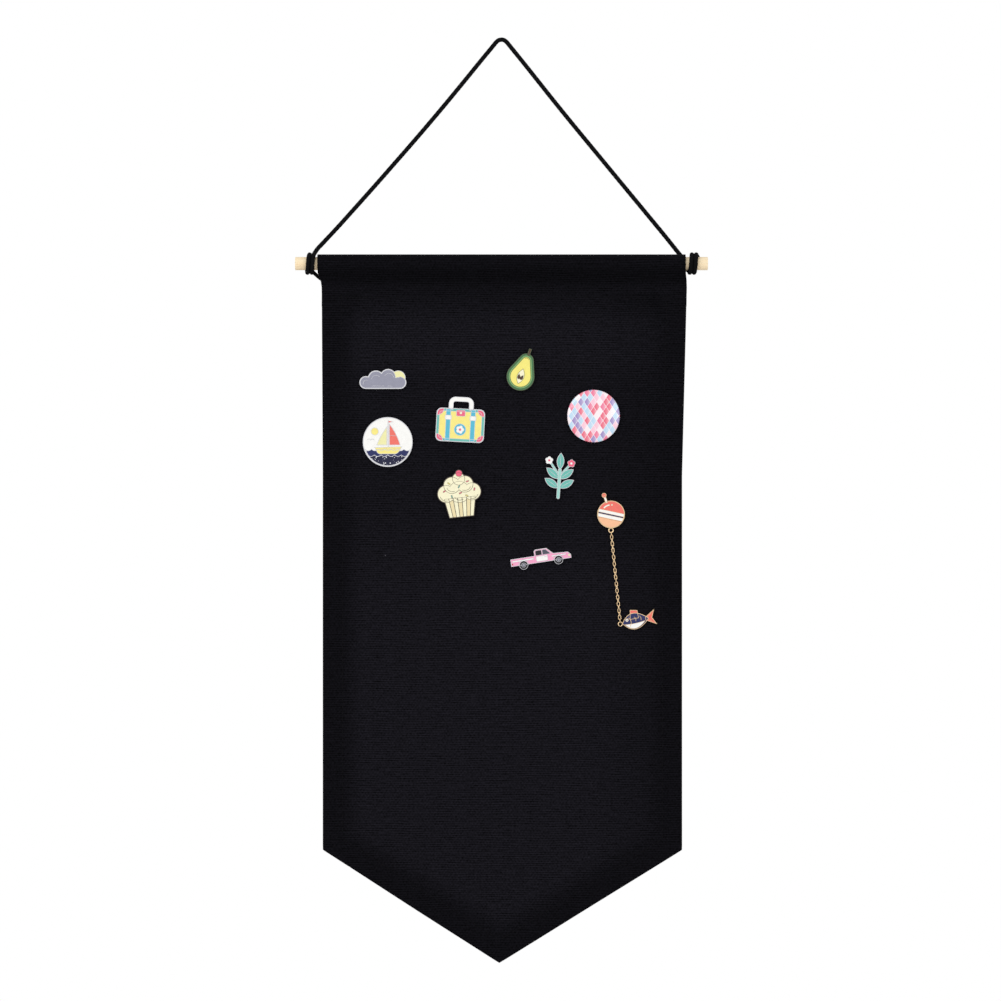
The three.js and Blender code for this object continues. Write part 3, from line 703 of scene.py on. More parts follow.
def winding_points(turns, leg_end, leg_next):
    """A winding's points, from the end of the cord's free run to the winding's own last end."""
    radius = DOWEL_RADIUS + SEAT_GAP + CORD_DIAMETER / 2
    along = (leg_end - leg_next).normalized()
    first = leg_end + along * SEAT_GAP
    points = [first, first + along * turns["straight"]]
    count = round(abs(turns["sweep"]) / 360 * 24)
    for i in range(1, count + 1):
        wound = turns["sweep"] * i / count
        angle = math.radians(turns["from_angle"] + wound)
        out = SLEEVE_HALF + turns["setback"] + FUZZY_DIAMETER * abs(wound) / 360
        points.append(Vector((turns["outward"] * out, radius * math.cos(angle),
                              DOWEL_Z + radius * math.sin(angle))))
    points.append(points[-1] + (points[-1] - points[-2]).normalized() * CORD_DIAMETER)
    return points


def make_knot(name, node, path_end, before):
    """An overhand knot pulled tight, past the end of a winding."""
    out = (path_end - before).normalized()
    centre = path_end + out * (SEAT_GAP + KNOT_RADIUS)
    size = (KNOT_RADIUS - KNOT_STRAND / 2) / 3
    facing = out.to_track_quat("Z", "Y").to_matrix()
    steps = 64
    path = []
    for i in range(steps):
        t = 2 * math.pi * i / steps
        loop = Vector((math.sin(t) + 2 * math.sin(2 * t), math.cos(t) - 2 * math.cos(2 * t),
                       -2 * math.sin(3 * t)))
        path.append(centre + facing @ (loop * size))
    mesh = rope_mesh(name, path, KNOT_STRAND, closed=True)
    return finish_mesh(mesh, name, "hanger", [CORD], [node], sharp=60)


def make_tail(name, node, route):
    """A short cut end of the cord, with its strands frayed."""
    path = smooth_path([Vector((x, y, z + DOWEL_Z)) for x, y, z in route], ROPE_STEP)
    mesh = rope_mesh(name, path, CORD_DIAMETER)
    bm = bmesh.new()
    bm.from_mesh(mesh)
    bm.transform(Matrix.Scale(1 / MM, 4))
    bpy.data.meshes.remove(mesh)
    facing = (path[-1] - path[-2]).normalized().to_track_quat("Z", "Y").to_matrix().to_4x4()
    for i in range(FRAYED_ENDS):
        turn = Matrix.Rotation(2.4 * i, 4, "Z") @ Matrix.Rotation(math.radians(6 + 3 * (i % 4)), 4, "Y")
        seat = Matrix.Translation((0.06 * (i % 7) + 0.1, 0, 0.45 + 0.06 * (i % 3)))
        bmesh.ops.create_cone(bm, cap_ends=True, segments=5, radius1=0.17, radius2=0.03,
                              depth=1.1 + 0.2 * (i % 3),
                              matrix=Matrix.Translation(path[-1]) @ facing @ turn @ seat)
    return finish_piece(bm, name, "hanger", [CORD], [node], sharp=60)


def make_cord():
    legs = [Vector(point) for point in CORD_ROUTE]
    left = winding_points(LEFT_TURNS, legs[0], legs[1])
    right = winding_points(RIGHT_TURNS, legs[-1], legs[-2])
    path = smooth_path([*reversed(left), *legs, *right], ROPE_STEP)
    mesh = rope_mesh("tied_cord", path, FUZZY_DIAMETER)
    nodes = ["hanging_cord", "left_cord_winding", "right_cord_winding"]
    rope = finish_mesh(mesh, "tied_cord", "hanger", [CORD], nodes, sharp=60)
    ends = [
        make_knot("left_knot", "left_cord_knot", path[0], path[1]),
        make_knot("right_knot", "right_cord_knot", path[-1], path[-2]),
        make_tail("left_tail", "left_cord_tail", LEFT_TAIL),
        make_tail("right_tail", "right_cord_tail", RIGHT_TAIL),
    ]


make_cord()


# Dowel

def make_dowel():
    """A sanded dowel with its edges broken and a faint saw step on each end."""
    bm = bmesh.new()
    lying = Matrix.Translation((0, 0, DOWEL_Z)) @ Matrix.Rotation(math.pi / 2, 4, "Y")
    bmesh.ops.create_cone(bm, cap_ends=True, segments=64, radius1=DOWEL_RADIUS, radius2=DOWEL_RADIUS,
                          depth=DOWEL_LENGTH, matrix=lying)
    ends = [face for face in bm.faces if len(face.verts) > 4]
    bmesh.ops.inset_region(bm, faces=ends, thickness=SAW_STEP_WIDTH, depth=-SAW_STEP,
                           use_even_offset=True)

    def on_rim(vert):
        from_axis = math.hypot(vert.co.y, vert.co.z - DOWEL_Z)
        return abs(vert.co.x) > DOWEL_LENGTH / 2 - 0.01 and from_axis > DOWEL_RADIUS - 0.01

    rims = [edge for edge in bm.edges if all(on_rim(vert) for vert in edge.verts)]
    bmesh.ops.bevel(bm, geom=rims, offset=EDGE_BREAK, segments=3, profile=0.5, affect="EDGES", material=-1)
    cells = 60
    for i in range(1, cells):
        cut = DOWEL_LENGTH * (i / cells - 0.5)
        bmesh.ops.bisect_plane(bm, geom=bm.verts[:] + bm.edges[:] + bm.faces[:], plane_co=(cut, 0, 0),
                               plane_no=(1, 0, 0))
    for vert in bm.verts:
        worn = 0.012 * math.sin(vert.co.x * 0.19) + 0.01 * math.sin(vert.co.x * 0.43 + vert.co.y)
        vert.co.y *= 1 - abs(worn) / DOWEL_RADIUS
    finish_piece(bm, "birch_rod", "hanger", [WOOD], ["dowel"])


make_dowel()


# Canvas

SEAM_Z = DOWEL_Z - SLEEVE_DEPTH
FOLD_REACH = FOLD_RADIUS + CLOTH_THICKNESS / 2
POINT_SLOPE = POINT_HEIGHT / PANEL_HALF
POINT_STRETCH = math.hypot(1, POINT_SLOPE)


def pennant(inset):
    """The panel's outline below the seam, drawn in by inset."""
    half = PANEL_HALF - inset
    top_half = PANEL_TOP_HALF - inset
    tip = POINT_Z + inset * POINT_STRETCH
    shoulder = tip + half * POINT_SLOPE
    return [(-top_half, SEAM_Z), (-half, SEAM_Z - TAPER_HEIGHT), (-half, shoulder), (0, tip),
            (half, shoulder), (half, SEAM_Z - TAPER_HEIGHT), (top_half, SEAM_Z)]


def eased(value, start, end):
    share = max(0.0, min(1.0, (value - start) / (end - start)))
    return share * share * (3 - 2 * share)


def taper_share(z):
    """1 at the seam, and 0 from the foot of the taper down."""
    return max(0.0, (z - SEAM_Z) / TAPER_HEIGHT + 1)


def sleeve_share(height):
    """0 where the sleeve is as wide as the panel, and 1 where it goes round the dowel."""
    return eased(height, -DOWEL_RADIUS - SLEEVE_BLEND, -DOWEL_RADIUS)


def cloth_shift(z):
    """How far the panel hangs to the right; the sleeve takes this up between its seam and the dowel."""
    seam, foot, tip = PANEL_SHIFT["seam"], PANEL_SHIFT["foot"], PANEL_SHIFT["tip"]
    if z > SEAM_Z:
        return seam * (1 - sleeve_share(z - DOWEL_Z))
    point = max(0.0, 1 - (z - POINT_Z) / POINT_HEIGHT)
    return foot + (seam - foot) * taper_share(z) + (tip - foot) * point


def from_edge(x, z):
    """How far a point of the panel lies from its nearest side or slanted edge."""
    side = PANEL_HALF + (PANEL_TOP_HALF - PANEL_HALF) * taper_share(z) - abs(x)
    return min(side, (z - POINT_Z - abs(x) * POINT_SLOPE) / POINT_STRETCH)


def cloth_relief(x, z):
    """How far the hung cloth stands behind its flat plane: its seam's pull, slow waves and its hems."""
    below = SEAM_Z - z
    seam = 0.5 * math.exp(-below / 9) - 0.35 * math.exp(-((below - 20) / 16) ** 2)
    slack = 0.03 + 0.8 * eased(below, 185, 325)
    waves = (0.6 * math.sin(x * 0.052 + 0.7) + 0.4 * math.sin(x * 0.105 - 1.1 + z * 0.006)
             + 0.25 * math.sin(x * 0.021 + z * 0.013))
    hem = -0.06 * (1 - eased(from_edge(x, z), HEM_WIDTH - HEM_BLEND, HEM_WIDTH + HEM_BLEND))
    return seam + slack * waves + hem


def painted_cloth_shade(x, z):
    """Painted shade on the panel: darker at its hems and seam, and where it faces away from the light."""
    below = SEAM_Z - z
    hem = 1 - eased(from_edge(x, z), HEM_WIDTH - 4, HEM_WIDTH + 9)
    seam = 0.75 * (1 - eased(below, 0, 18))
    upper = 0.4 * eased(below, 28, 48) * (1 - eased(below, 95, 150))
    return min(1.0, hem + seam) + (upper + 0.4 * eased(x, 38, 72)) * (1 - hem)


def painted_sleeve_shade(height):
    """Painted shade on the sleeve at a height over the dowel's axis: darkest just under the dowel."""
    return 1.05 + 0.35 * eased(-height, 0, 4) - 0.6 * eased(-height, 7, 13)


def sleeve_path():
    """Rows of the sleeve from the seam over the dowel and down behind: y, and the height over the axis."""
    radius = DOWEL_RADIUS + SEAT_GAP + CLOTH_THICKNESS / 2
    front = Vector((cloth_relief(0, SEAM_Z), -SLEEVE_DEPTH))
    back = Vector((CLOTH_THICKNESS + LAYER_GAP, -SLEEVE_DEPTH))
    first, last = (math.atan2(foot.y, foot.x) + side * math.acos(radius / foot.length)
                   for foot, side in ((front, -1), (back, 1)))
    loop = [Vector(point) for point in arc(0, 0, radius, math.degrees(first) + 360, math.degrees(last), 28)]
    rows = [front.lerp(loop[0], share) for share in (0.03, 0.25, 0.5, 0.75)] + loop
    rows += [loop[-1].lerp(back, share) for share in (0.35, 0.7, 1)]
    rows += [back + Vector((0.04, -SEAM_ALLOWANCE * share)) for share in (0.5, 1)]
    return rows


def extruded_rim(bm, edges, tag, places):
    """Extrudes a rim, and puts each new vertex at the place listed for its tag."""
    verts, rim = extruded(bm, edges)
    for vert in verts:
        vert.co = places[vert[tag]]
    return rim


def tagged_rim(tag, edges):
    """Numbers the vertices of a rim and returns them in that order."""
    verts = sorted({vert for edge in edges for vert in edge.verts}, key=lambda vert: (vert.co.x, vert.co.z))
    for number, vert in enumerate(verts):
        vert[tag] = number
    return verts


def inward_mitres(verts, edges):
    """For each rim vertex, the way into the cloth, as long as keeps its edges at a distance of 1."""
    sums = {vert: [] for vert in verts}
    for edge in edges:
        along = (edge.verts[1].co - edge.verts[0].co).normalized()
        inward = Vector((-along.z, 0, along.x)).normalized()
        middle = (edge.verts[0].co + edge.verts[1].co) / 2
        if inward.dot(edge.link_faces[0].calc_center_median() - middle) < 0:
            inward.negate()
        for vert in edge.verts:
            sums[vert].append(inward)
    mitres = []
    for vert in verts:
        mean = sum(sums[vert], Vector()).normalized()
        mitres.append(mean / max(0.4, mean.dot(sums[vert][0])))
    return mitres


def cut_cloth(bm):
    """Cuts the flat panel into small cells, with closer cuts along the hems."""
    def cut(place, normal, faces):
        edges = {edge for face in faces for edge in face.edges}
        verts = {vert for face in faces for vert in face.verts}
        bmesh.ops.bisect_plane(bm, geom=[*verts, *edges, *faces], plane_co=place, plane_no=normal)

    columns = int(PANEL_HALF / CLOTH_CELL)
    for i in range(-columns, columns + 1):
        cut((i * CLOTH_CELL, 0, 0), (1, 0, 0), bm.faces[:])
    rows = int((SEAM_Z - POINT_Z) / CLOTH_CELL)
    for i in range(1, rows + 1):
        cut((0, 0, SEAM_Z - i * CLOTH_CELL), (0, 0, 1), bm.faces[:])
    for side in (-1, 1):
        for line in (HEM_WIDTH - HEM_BLEND, HEM_WIDTH - 0.5, HEM_WIDTH + 0.5, HEM_WIDTH + HEM_BLEND):
            cut((side * (PANEL_HALF - line), 0, 0), (1, 0, 0), bm.faces[:])
            near = [face for face in bm.faces if face.calc_center_median().x * side > -CLOTH_CELL / 2
                    and face.calc_center_median().z < POINT_Z + POINT_HEIGHT + 2 * HEM_WIDTH]
            cut((0, 0, POINT_Z + line * POINT_STRETCH), (-side * POINT_HEIGHT, 0, PANEL_HALF), near)
    bmesh.ops.remove_doubles(bm, verts=bm.verts, dist=LEAST_CELL)


def fold_hems(bm, tag, edges):
    """Gives the flat panel its relief, and folds its sides and point back into hems."""
    verts = tagged_rim(tag, edges)
    mitres = inward_mitres(verts, edges)
    for vert in bm.verts:
        vert.co.y = cloth_relief(vert.co.x, vert.co.z)
    places = [vert.co.copy() for vert in verts]
    turns = [math.radians(degrees) for degrees in (45, 90, 135, 180)]
    steps = [(-math.sin(turn) * FOLD_RADIUS, (1 - math.cos(turn)) * FOLD_RADIUS) for turn in turns]
    steps += [(depth, FOLD_RADIUS * 2) for depth in (HEM_WIDTH / 2, HEM_WIDTH - FOLD_REACH)]
    for inward, behind in steps:
        edges = extruded_rim(bm, edges, tag, [place + mitre * inward + Vector((0, behind, 0))
                                              for place, mitre in zip(places, mitres)])


def raise_sleeve(bm, tag, edges, along, shade):
    """Takes the cloth on from the seam over the dowel and down behind, with its run and its painted shade.
    """
    starts = [vert.co.copy() for vert in tagged_rim(tag, edges)]
    middle = starts[len(starts) // 2].y
    run = SEAM_Z
    before = Vector((middle, -SLEEVE_DEPTH))
    for row in sleeve_path():
        run += (row - before).length
        before = row
        half = PANEL_TOP_HALF + (SLEEVE_HALF - PANEL_TOP_HALF) * sleeve_share(row.y)
        wide = half / starts[-1].x
        in_front = row.x < CLOTH_THICKNESS
        settle = max(0.0, 1 - (row.y + SLEEVE_DEPTH) / SETTLE_HEIGHT) if in_front else 0.0
        edges = extruded_rim(bm, edges, tag, [
            Vector((start.x * wide, row.x + (start.y - middle) * settle, DOWEL_Z + row.y))
            for start in starts])
        for vert in {vert for edge in edges for vert in edge.verts}:
            vert[along] = run
            vert[shade] = painted_sleeve_shade(row.y)


def make_canvas():
    bm = bmesh.new()
    tag = bm.verts.layers.int.new("rim")
    along = bm.verts.layers.float.new("along")
    shade = bm.verts.layers.float.new("shade")
    bm.faces.new([bm.verts.new((x, 0, z)) for x, z in pennant(FOLD_REACH)])
    cut_cloth(bm)
    # Painted shade for the panel, kept in the shade attribute
    for vert in bm.verts:
        vert[shade] = painted_cloth_shade(vert.co.x, vert.co.z)
    edges = [edge for edge in bm.edges if edge.is_boundary]
    top = [edge for edge in edges if all(abs(vert.co.z - SEAM_Z) < 1e-3 for vert in edge.verts)]
    fold_hems(bm, tag, [edge for edge in edges if edge not in top])
    for vert in bm.verts:
        vert[along] = vert.co.z
    raise_sleeve(bm, tag, top, along, shade)
    cloth = bm.loops.layers.uv.new("cloth")
    for face in bm.faces:
        for loop in face.loops:
            loop[cloth].uv = (loop.vert.co.x * MM, loop.vert[along] * MM)
    for vert in bm.verts:
        vert.co.x += cloth_shift(vert.co.z)
    nodes = ["canvas_panel", "canvas_sleeve"]
    panel = finish_piece(bm, "canvas_pennant", "banner", [CANVAS], nodes, sharp=70)
    thickness = panel.modifiers.new("cloth_thickness", "SOLIDIFY")
    thickness.thickness = CLOTH_THICKNESS * MM
    thickness.offset = 0
    return panel


def stitch_rows():
    """Where each stitch lies, and the way it runs: along the hems and across the seam, front and back."""
    hems = pennant(HEM_WIDTH - STITCH_INSET)
    seam_z = SEAM_Z - SEAM_STITCH_DROP
    front = -CLOTH_THICKNESS / 2 - STITCH_STAND
    behind = FOLD_RADIUS * 2 + CLOTH_THICKNESS / 2 + STITCH_STAND
    seats = []
    for ends in [*zip(hems, hems[1:]), ((-SEAM_STITCH_HALF, seam_z), (SEAM_STITCH_HALF, seam_z))]:
        start, end = (Vector((x, 0, z)) for x, z in ends)
        way = (end - start).normalized()
        for i in range(int((end - start).length / STITCH_PITCH)):
            place = start + way * (STITCH_PITCH * (i + 0.5))
            depth = cloth_relief(place.x, place.z)
            place.x += cloth_shift(place.z)
            seats += [(place + Vector((0, depth + layer, 0)), way) for layer in (front, behind)]
    return seats


def make_stitching():
    bm = bmesh.new()
    shape = Matrix.Diagonal((*STITCH_RADII, 1))
    for place, way in stitch_rows():
        turn = Vector((1, 0, 0)).rotation_difference(way).to_matrix().to_4x4()
        seat = Matrix.Translation(place) @ turn @ shape
        bmesh.ops.create_icosphere(bm, subdivisions=1, radius=1, matrix=seat)
    return finish_piece(bm, "hem_stitching", "banner", [STITCH_THREAD], sharp=80)


canvas = make_canvas()
stitching = make_stitching()


# Badges

class Badge:
    """A struck plate with enamel fields between raised metal lines, drawn about its post."""

    def __init__(self, metal, front=PLATE_FRONT, back=PLATE_FRONT + PLATE_THICKNESS):
        self.bm = bmesh.new()
        self.materials = [metal]
        self.front, self.back = front, back

    def paint(self, faces, material):
        if material not in self.materials:
            self.materials.append(material)
        for face in faces:
            face.material_index = self.materials.index(material)

    def loop(self, outline, y):
        """The closed edge of an outline at one depth."""
        verts = [self.bm.verts.new((x, y, z)) for x, z in outline]
        return [self.bm.edges.new((verts[i - 1], verts[i])) for i in range(len(verts))]

    def fill(self, *loops, material=None):
        """Fills a loop, or the strip between two."""
        edges = [edge for loop in loops for edge in loop]
        made = bmesh.ops.triangle_fill(self.bm, use_beauty=True, edges=edges, normal=(0, -1, 0))["geom"]
        if material:
            self.paint([item for item in made if isinstance(item, bmesh.types.BMFace)], material)

    def wall(self, edges, y):
        """A wall from a loop straight to another depth, and the loop there."""
        verts, loop = extruded(self.bm, edges)
        for vert in verts:
            vert.co.y = y
        return loop

    def field(self, outline, fill, level=1, line=LINE_WIDTH, back=None, drop=ENAMEL_DROP):
        """A field of enamel with a metal line round it; level 0 is the plate itself."""
        front = self.front - LEVEL_RISE * level + LEVEL_RISE
        soft = min(RIM_BEVEL, line / 3)
        outer = self.loop(outline, front + soft)
        self.fill(self.wall(outer, self.front + FIELD_DEPTH if back is None else back))
        crest_outline = drawn_in(outline, soft)
        crest = self.loop(crest_outline, front)
        self.fill(outer, crest)
        pool_outline = drawn_in(crest_outline, line - soft) if fill else []
        if len(pool_outline) < 3:
            self.fill(crest)
            return
        lip = self.loop(pool_outline, front)
        self.fill(crest, lip)
        shore = self.wall(lip, front + drop - MENISCUS_DROP)
        floor_outline = drawn_in(pool_outline, MENISCUS_WIDTH)
        if len(floor_outline) < 3:
            self.fill(shore, material=fill)
            return
        floor = self.loop(floor_outline, front + drop)
        self.fill(shore, floor, material=fill)
        self.fill(floor, material=fill)

    def plate(self, outline, fill, rim=RIM_WIDTH):
        self.field(outline, fill, level=0, line=rim, back=self.back, drop=ENAMEL_DROP + LEVEL_RISE)

    def limb(self, outline, fill, level=0, line=LINE_WIDTH):
        """A field that reaches out past the plate, as thick as the plate is."""
        self.field(outline, fill, level, line, self.back)

    def line(self, points, width=LINE_WIDTH, level=2):
        """A raised metal line."""
        self.field(line_outline(points, width), None, level, line=width)

    def dot(self, x, z, radius, fill, level=2, line=0.14):
        self.field(ring(x, z, radius, 20), fill, level, line)

    def eye(self, x, z, outer):
        """A ring that stands on the plate's edge for a chain link."""
        middle = (CHARM_FRONT + CHARM_BACK) / 2
        before = set(self.bm.verts)
        radius = (outer - EYE_INNER) / 4
        spin_radius = (outer + EYE_INNER) / 4
        made = bmesh.ops.create_circle(self.bm, segments=12, radius=radius,
                                       matrix=Matrix.Translation((x + spin_radius, middle, z)))
        loop = made["verts"] + list({edge for vert in made["verts"] for edge in vert.link_edges})
        bmesh.ops.spin(self.bm, geom=loop, cent=(x, 0, z), axis=(0, 1, 0), angle=2 * math.pi, steps=28,
                       use_merge=True)
        ring_verts = [vert for vert in self.bm.verts if vert not in before]
        bmesh.ops.scale(self.bm, vec=(1, EYE_THICKNESS / (radius * 2), 1), verts=ring_verts,
                        space=Matrix.Translation((0, -middle, 0)))

    def post(self):
        """The post behind the plate, with its solder and a grooved point."""
        solder = [(0, -0.4), (1.15, -0.4), (1.15, 0.02), (0.75, 0.12), (POST_RADIUS, 0.3)]
        groove = POST_RADIUS * 0.82
        point = [(POST_RADIUS, 2.4), (groove, 2.2), (groove, 1.9), (POST_RADIUS, 1.7), (POST_RADIUS, 1.2),
                 (0.25, 0.06), (0, 0)]
        spun(self.bm, [(radius, self.back + y) for radius, y in solder]
             + [(radius, POST_TIP - y) for radius, y in point], steps=20)

    def pinned(self, name):
        """Finishes a badge that sits on its own post."""
        self.post()
        place = leant(joint_place[f"{name}_spin"], BADGE_LEAN[name])
        finish_piece(self.bm, f"{name}_pin", name, self.materials, [f"{name}_badge"], place=place)


# Badge motifs

def sea_outline(radius, z, dip, count, steps=6):
    """The part of a disc below a row of waves, crests up."""
    down = math.degrees(math.asin(-z / radius))
    half = radius * math.cos(math.radians(down))
    width = 2 * half / count
    waves = [(half - width * (i + j / steps), z - dip * math.sin(math.pi * j / steps))
             for i in range(count) for j in range(steps)]
    return arc(0, 0, radius, 180 + down, 360 - down, 40) + waves[1:]


def make_cloud_pin():
    badge = Badge(SILVER)
    middle = (0, -1.5)
    lumps = [(-8.4, -1.75, 3.2), (8.4, -1.75, 3.2), (-3.4, 0.2, 4), (2.6, 0.95, 4)]
    sun = (7.6, 0.6, 3.6)
    bar = [(-8.4, -4.95), (8.4, -4.95), (8.4, -1.75), (-8.4, -1.75)]
    badge.plate(lobed([*lumps, sun], bar, middle), PALE_YELLOW, 0.34)
    smaller = [(x, z, radius - 0.3) for x, z, radius in lumps]
    badge.field(lobed(smaller, [(x, max(z, -4.65)) for x, z in bar], middle), GREY)
    for puff in ((-3.4, -0.5, 2.3, 35, 170), (3.0, 0.2, 2.5, 10, 145), (-8.1, -2.2, 1.6, 70, 200)):
        badge.line(arc(*puff), 0.22)
    for left, right in ((-5.4, 0.6), (2.2, 4.6)):
        badge.line([(left, -3.5), (right, -3.5)], 0.22)
    badge.pinned("cloud")


def make_boat_pin():
    badge = Badge(SILVER)
    badge.plate(ring(0, 0, 12.3, 96), WHITE, 0.4)
    badge.dot(-6.4, 5.2, 1.9, YELLOW, 1, 0.2)
    badge.field(sea_outline(11.7, -3.4, 0.8, 7), NAVY)
    hull = [(-6.6, -2.6), *bow((-5.6, -4.6), (-5.0, -6.0), (-3.6, -6.0)), (-3.6, -6.0),
            *bow((3.6, -6.0), (5.6, -5.8), (7.0, -2.2)), (7.0, -2.2)]
    badge.field(hull, YELLOW, 2)
    badge.line([(-6.0, -3.6), (6.1, -3.4)], 0.24, 3)
    mainsail = [(0.7, -1.6), *bow((6.3, -1.6), (4.6, 4.4), (0.7, 9.2)), (0.7, 9.2)]
    badge.field(mainsail, CORAL, 2)
    jib = [*bow((-0.3, 7.8), (-3.6, 3.4), (-5.6, -1.6)), (-5.6, -1.6), (-0.3, -1.6)]
    badge.field(jib, PALE_YELLOW, 2)
    badge.line([(0.7, 3.1), (4.4, 3.1)], 0.2, 3)
    badge.line([(0.2, -2.6), (0.2, 10.6)], 0.4, 3)
    badge.field([(0.3, 9.5), (2.7, 10.0), (0.3, 10.5)], CORAL, 3, 0.1)
    badge.field(sea_outline(11.75, -6.2, 0.8, 6), SPECKLED_NAVY, 3)
    for gull_x in (-9.2, -7.5):
        badge.line(arc(gull_x, 0.6, 0.9, 20, 160, 6), 0.2)
    badge.pinned("boat")


def make_suitcase_pin():
    badge = Badge(SILVER)
    badge.plate(rounded(-12, -11.15, 12, 5.45, 2.6), TEAL)
    badge.field(rounded(-10.6, -9.75, 10.6, 4.05, 1.6), YELLOW)
    low = [(-11.65, -7.4), *arc(-9.4, -8.55, 2.25, 180, 270, 6), *arc(-11.65, -10.8, 3.5, 0, 90, 8)[:-1]]
    high = [(x, -5.7 - z) for x, z in reversed(low)]
    for corner in (low, high, mirrored(low), mirrored(high)):
        badge.field(corner, PINK, 2)
    for x in (-6.1, 6.1):
        badge.field(rounded(x - 1.25, -10.75, x + 1.25, 5.05, 0.3), BLUE, 2)
        badge.field(rounded(x - 1.65, -0.4, x + 1.65, 2.0, 0.4), WHITE, 3)
    badge.field(rounded(-2.3, 1.5, 2.3, 4.7, 0.6), PINK, 3)
    badge.dot(0, 3.2, 0.65, CREAM, 4)
    label = (0, -5.0)
    badge.field(ring(*label, 3.0), BLUE, 2)
    badge.field(blossom(*label, 1.15, 0.95, 0, 80), WHITE, 3, 0.16)
    badge.dot(*label, 0.7, PINK, 4)
    handle = [(-5, 4.6), *arc(-2.8, 7.75, 2.2, 180, 90, 8), *arc(2.8, 7.75, 2.2, 90, 0, 8), (5, 4.6)]
    badge.limb(line_outline(handle, 2.4), WHITE, 0, 0.3)
    badge.pinned("suitcase")


def make_cupcake_pin():
    badge = Badge(NICKEL)
    swirl = [(-6.4, 0.4, 4.6), (6.4, 0.4, 4.6), (0, 0.8, 5.6), (-3.2, 4.4, 4.4), (3.2, 4.4, 4.4),
             (0.4, 7.2, 3.4)]
    cherry = (0.8, 9.9)
    paper = [(-6.2, -11.8), (6.2, -11.8), (8.2, -1.2), (-8.2, -1.2)]
    badge.plate(lobed([*swirl, (*cherry, 1.9)], paper), CREAM, 0.3)
    pleats = 7
    for i in range(pleats):
        left, right = i / pleats - 0.5, (i + 1) / pleats - 0.5
        pleat = [(left * 11.9, -11.52), (right * 11.9, -11.52), (right * 15.5, -2.0), (left * 15.5, -2.0)]
        badge.field(pleat, BISCUIT if i % 2 else CREAM, 1, 0.13)
    shrunk = [(x, z, radius - 0.28) for x, z, radius in swirl]
    tiers = [lobed(shrunk[:3], centre=(0, 0.5)), lobed(shrunk[3:5], centre=(0, 4.4)), ring(*shrunk[5])]
    for level, tier in enumerate(tiers, 2):
        badge.field(tier, CREAM, level, 0.17)
    badge.dot(*cherry, 1.66, PINK, 5)
    creases = [(-6.6, -0.2, 190, 280), (0.2, -0.4, 205, 300), (6.4, -0.2, 250, 340), (-3, 4.1, 195, 290),
               (3.2, 4.1, 240, 335)]
    for x, z, start, end in creases:
        badge.line(arc(x, z, 2.9, start, end, 10), 0.15, 5)
    sprinkles = [(-7.2, 1.8, 30, PINK), (-3.8, -1.2, 100, TEAL), (0.6, 0.2, 20, PINK),
                 (3.6, -1.4, 150, YELLOW), (7.6, 1.4, 70, PINK), (-4.6, 5.4, 140, YELLOW),
                 (0.2, 3.4, 60, TEAL), (4.6, 5.6, 15, PINK)]
    grain = rounded(-0.8, -0.3, 0.8, 0.3, 0.28, 3)
    for x, z, lean, fill in sprinkles:
        badge.field(turned(grain, lean, x, z), fill, 6, 0.12)
    badge.pinned("cupcake")


def pear_outline(inset):
    """A small disc over a large one, with straight flanks, drawn in by inset."""
    top_z, top_radius, foot_z, foot_radius = 4.7, 3.7, -3.6, 6.9
    flank = math.degrees(math.asin((foot_radius - top_radius) / (top_z - foot_z)))
    return (arc(0, top_z, top_radius - inset, flank, 180 - flank, 22)
            + arc(0, foot_z, foot_radius - inset, 180 - flank, 360 + flank, 40))


def make_pear_pin():
    badge = Badge(BRONZE)
    stalk = [(0, 7.2), (0, 9.2), (0, 11)]
    badge.limb(line_outline(stalk, 1.4), BROWN)
    badge.plate(pear_outline(0), GREEN)
    badge.field(pear_outline(0.95), LEAF_GREEN, 1, 0.14)
    badge.field(pear_outline(1.75), BUTTER, 2, 0.18)
    core = lens((0, -7.4), (3.6, -3.6), (0, 0.6), (-3.6, -3.6))
    badge.field(core, CREAM, 3, 0.16)
    seed = lens((0, -1.3), (1.5, -0.9), (0, 1.4), (-1.5, -0.9))
    for side in (-1, 1):
        badge.field(turned(seed, -14 * side, 0.75 * side, -3.8), BROWN, 4, 0.14)
    badge.line(arc(0, 4.7, 1.4, 40, 140, 8), 0.18, 3)
    badge.pinned("pear")


def make_harlequin_pin():
    """A domed button with a printed face turned over its edge."""
    badge = Badge(SILVER)
    back, front = badge.back, badge.front
    spun(badge.bm, [(0, back), (11.6, back), (12.1, back - 0.12), (12.2, back - 0.4)], steps=96)
    plain = set(badge.bm.faces)
    edge = [(12.1, back - 0.2), (12.6, back - 0.35), (12.95, back - 0.75), (13.0, back - 1.15),
            (12.85, front + 0.12)]
    shares = [1 - i / 14 for i in range(15)]
    crown = [(12.4 * share, front - 0.15 - 1.15 * (1 - share ** 2)) for share in shares]
    spun(badge.bm, edge + crown, steps=96)
    badge.paint([face for face in badge.bm.faces if face not in plain], PRINT)
    badge.pinned("harlequin")


